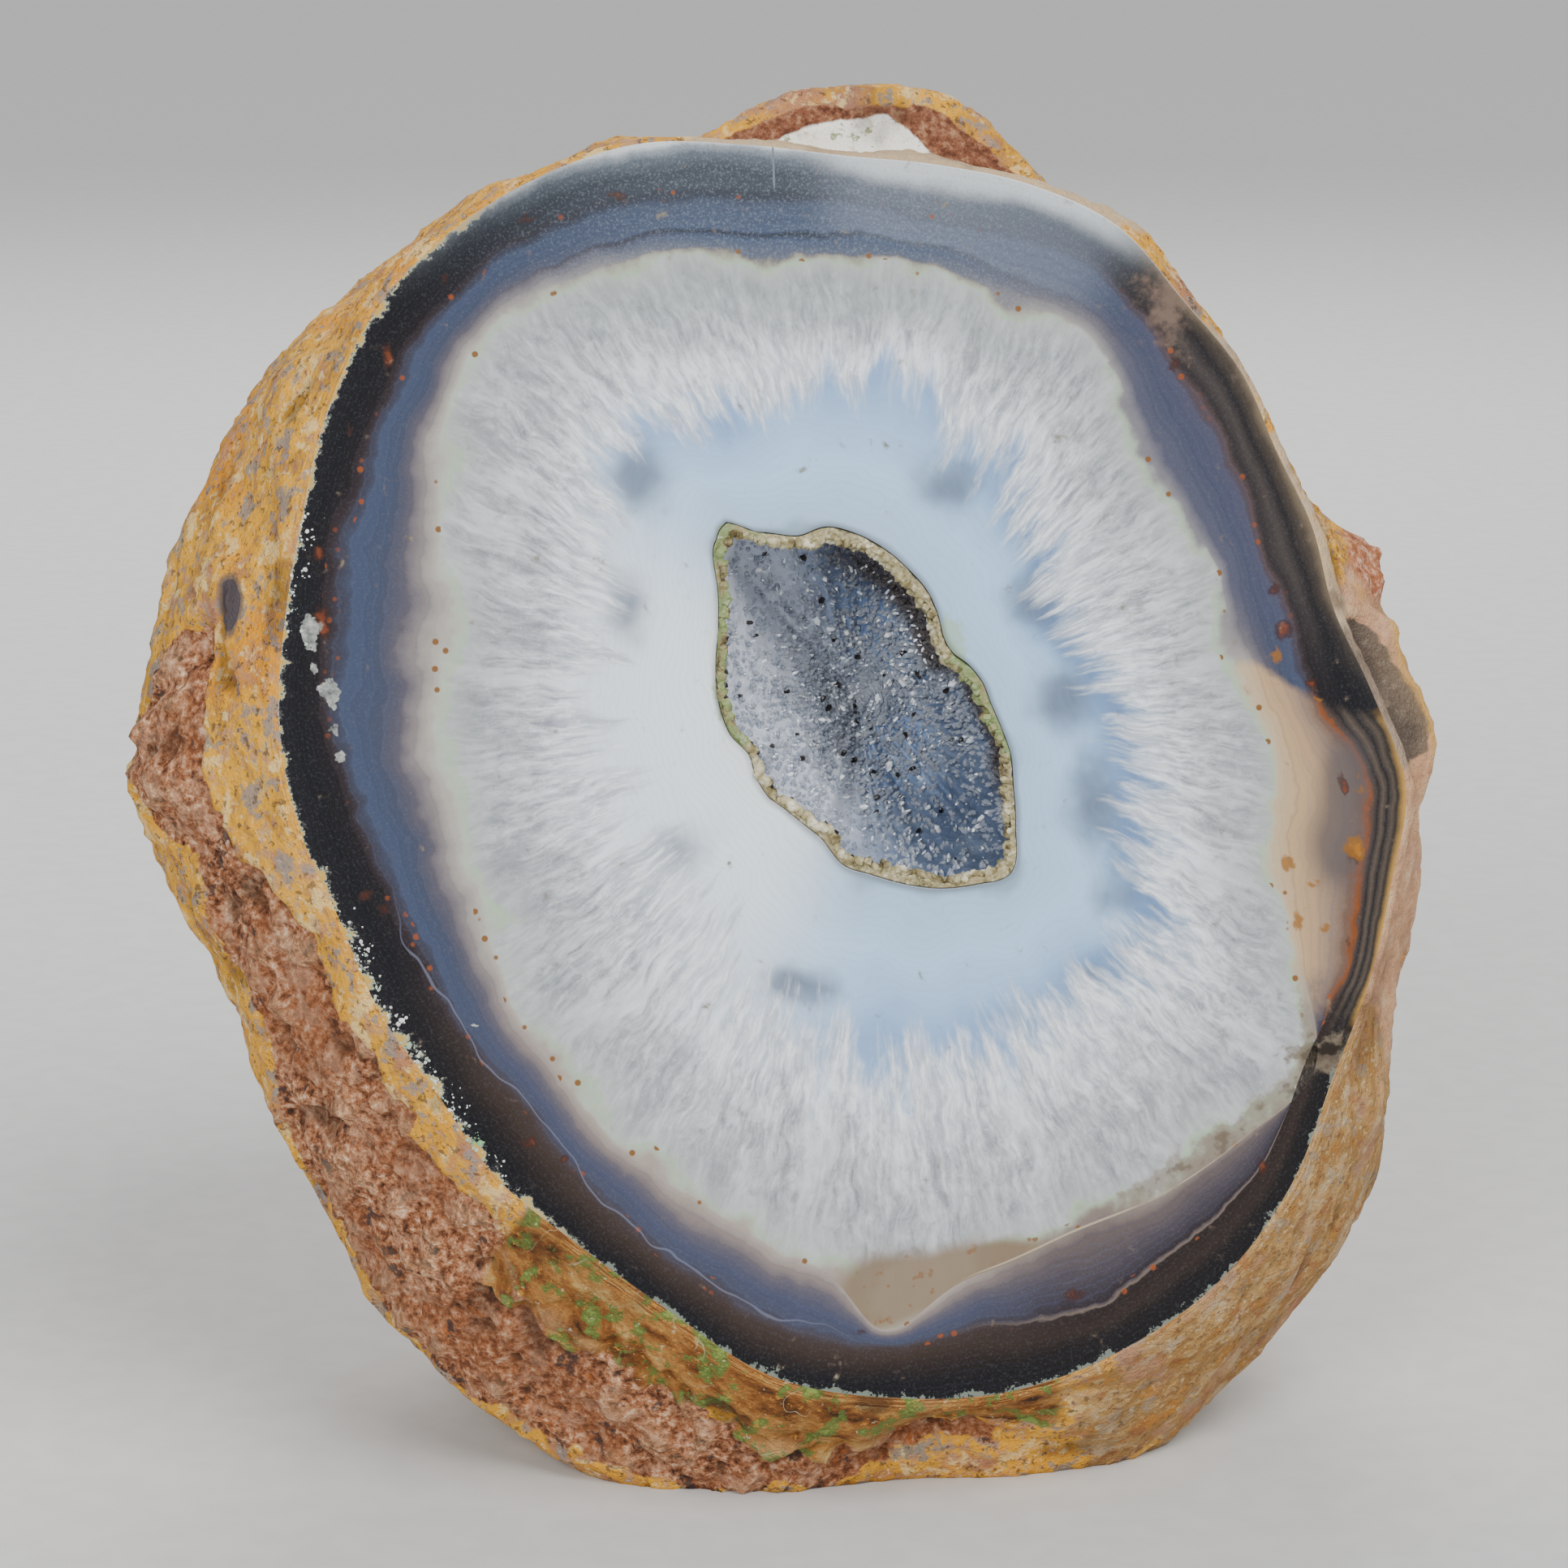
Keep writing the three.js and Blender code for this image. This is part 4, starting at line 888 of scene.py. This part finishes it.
# White crumbs along the line where the rind meets the agate, at the left of the face. They are bits of
# calcite and chalcedony that stayed in the seam when the face was polished.
SEAM_CRUMBS = 240
seam_groups = np.radians([163, 169, 203, 208, 213, 218, 222, 226])
seam_angle = seam_groups[chance.integers(0, 8, SEAM_CRUMBS)] + chance.normal(0, 0.035, SEAM_CRUMBS)
seam_radius = outline(FACE_EDGE, seam_angle) - EDGE_BEVEL - np.abs(chance.normal(0, 0.75, SEAM_CRUMBS))
seam_way = -INTO_STONE + chance.normal(0, 0.4, (SEAM_CRUMBS, 3))
seam_way /= np.linalg.norm(seam_way, axis=1, keepdims=True)
seam_width = chance.gamma(2.0, 0.065, SEAM_CRUMBS) + 0.08
seam_at = place(seam_radius * np.cos(seam_angle), seam_radius * np.sin(seam_angle), 0.02 + 0 * seam_radius)
seam_crumbs = crystals("seam_crumbs", seam_at, seam_way, seam_width, seam_width * 0.25, 13)
# Calcite: chalky white to pale grey-green, with a soft waxy shine.
seam_material, tree, shader = new_material("chalky_calcite", Roughness=0.6)
tinged = add(tree, "TexNoise", add(tree, "TexCoord", out=3), 1000 / 2.5, 3)
tree.links.new(add(tree, "ValToRGB", tinged, stops=[
    (0.32, "#6fae6a"), (0.42, "#a9bdaa"), (0.5, "#c9cdc6"), (0.65, "#e2e2dc")]), shader.inputs["Base Color"])
seam_crumbs.data.materials.append(seam_material)
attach(seam_crumbs, "root")


# Studio: a plain pale floor, soft lamps and a camera at the photograph's angle. None of it belongs to
# the stone.
floor_mesh = bpy.data.meshes.new("studio_floor")
reach = 6.0
floor_mesh.from_pydata([(-reach, -reach, 0), (reach, -reach, 0), (reach, reach, 0), (-reach, reach, 0)], [],
                       [(0, 1, 2, 3)])
floor = bpy.data.objects.new("studio_floor", floor_mesh)
bpy.context.collection.objects.link(floor)
floor_material, tree, shader = new_material("pale_paper", Roughness=0.8)
tree.links.new(add(tree, "ValToRGB", add(tree, "TexNoise", add(tree, "TexCoord", out=3), 250, 2), stops=[
    (0.4, "#cfcfcd"), (0.6, "#d3d3d1")]), shader.inputs["Base Color"])
floor_mesh.materials.append(floor_material)


def lamp(name, at, aim, size, power, colour):
    """A square soft lamp at a place, turned towards another."""
    data = bpy.data.lights.new(name, "AREA")
    data.size, data.energy, data.color = size, power, colour
    light = bpy.data.objects.new(name, data)
    light.location = at
    light.rotation_euler = (Vector(aim) - Vector(at)).to_track_quat("-Z", "Y").to_euler()
    bpy.context.collection.objects.link(light)


middle = (0.0, 0.0, 0.06)
sun = bpy.data.lights.new("soft_sky_light", "SUN")
sun.energy, sun.angle, sun.color = 2.4, math.radians(40), (1.0, 0.99, 0.97)
sky_light = bpy.data.objects.new("soft_sky_light", sun)
sky_light.rotation_euler = Vector((-0.42, 0.6, -0.8)).to_track_quat("-Z", "Y").to_euler()
bpy.context.collection.objects.link(sky_light)
lamp("fill_light", (-0.45, -0.85, 0.5), middle, 0.4, 8.0, (0.96, 0.98, 1.0))
lamp("back_light", (0.1, 0.7, 0.7), middle, 0.5, 5.0, (1.0, 1.0, 1.0))
world = bpy.data.worlds.new("studio_air")
world.use_nodes = True
world.node_tree.nodes["Background"].inputs["Color"].default_value = linear("#dcdfe3")
world.node_tree.nodes["Background"].inputs["Strength"].default_value = 0.45
bpy.context.scene.world = world

CAMERA_TURN, CAMERA_RISE, CAMERA_AWAY = math.radians(-8), math.radians(13), 400.0
CAMERA_AIM = FACE_CENTRE + np.array([-4.0, 22.0, -11.7])
towards_camera = np.array([math.sin(CAMERA_TURN) * math.cos(CAMERA_RISE),
                           -math.cos(CAMERA_TURN) * math.cos(CAMERA_RISE), math.sin(CAMERA_RISE)])
camera_data = bpy.data.cameras.new("camera")
camera_data.lens, camera_data.sensor_width = 100, 36
camera_data.clip_start, camera_data.clip_end = 0.01, 20
camera = bpy.data.objects.new("camera", camera_data)
camera.location = (CAMERA_AIM + CAMERA_AWAY * towards_camera) * MM
camera.rotation_euler = Vector(-towards_camera).to_track_quat("-Z", "Y").to_euler()
bpy.context.collection.objects.link(camera)
bpy.context.scene.camera = camera
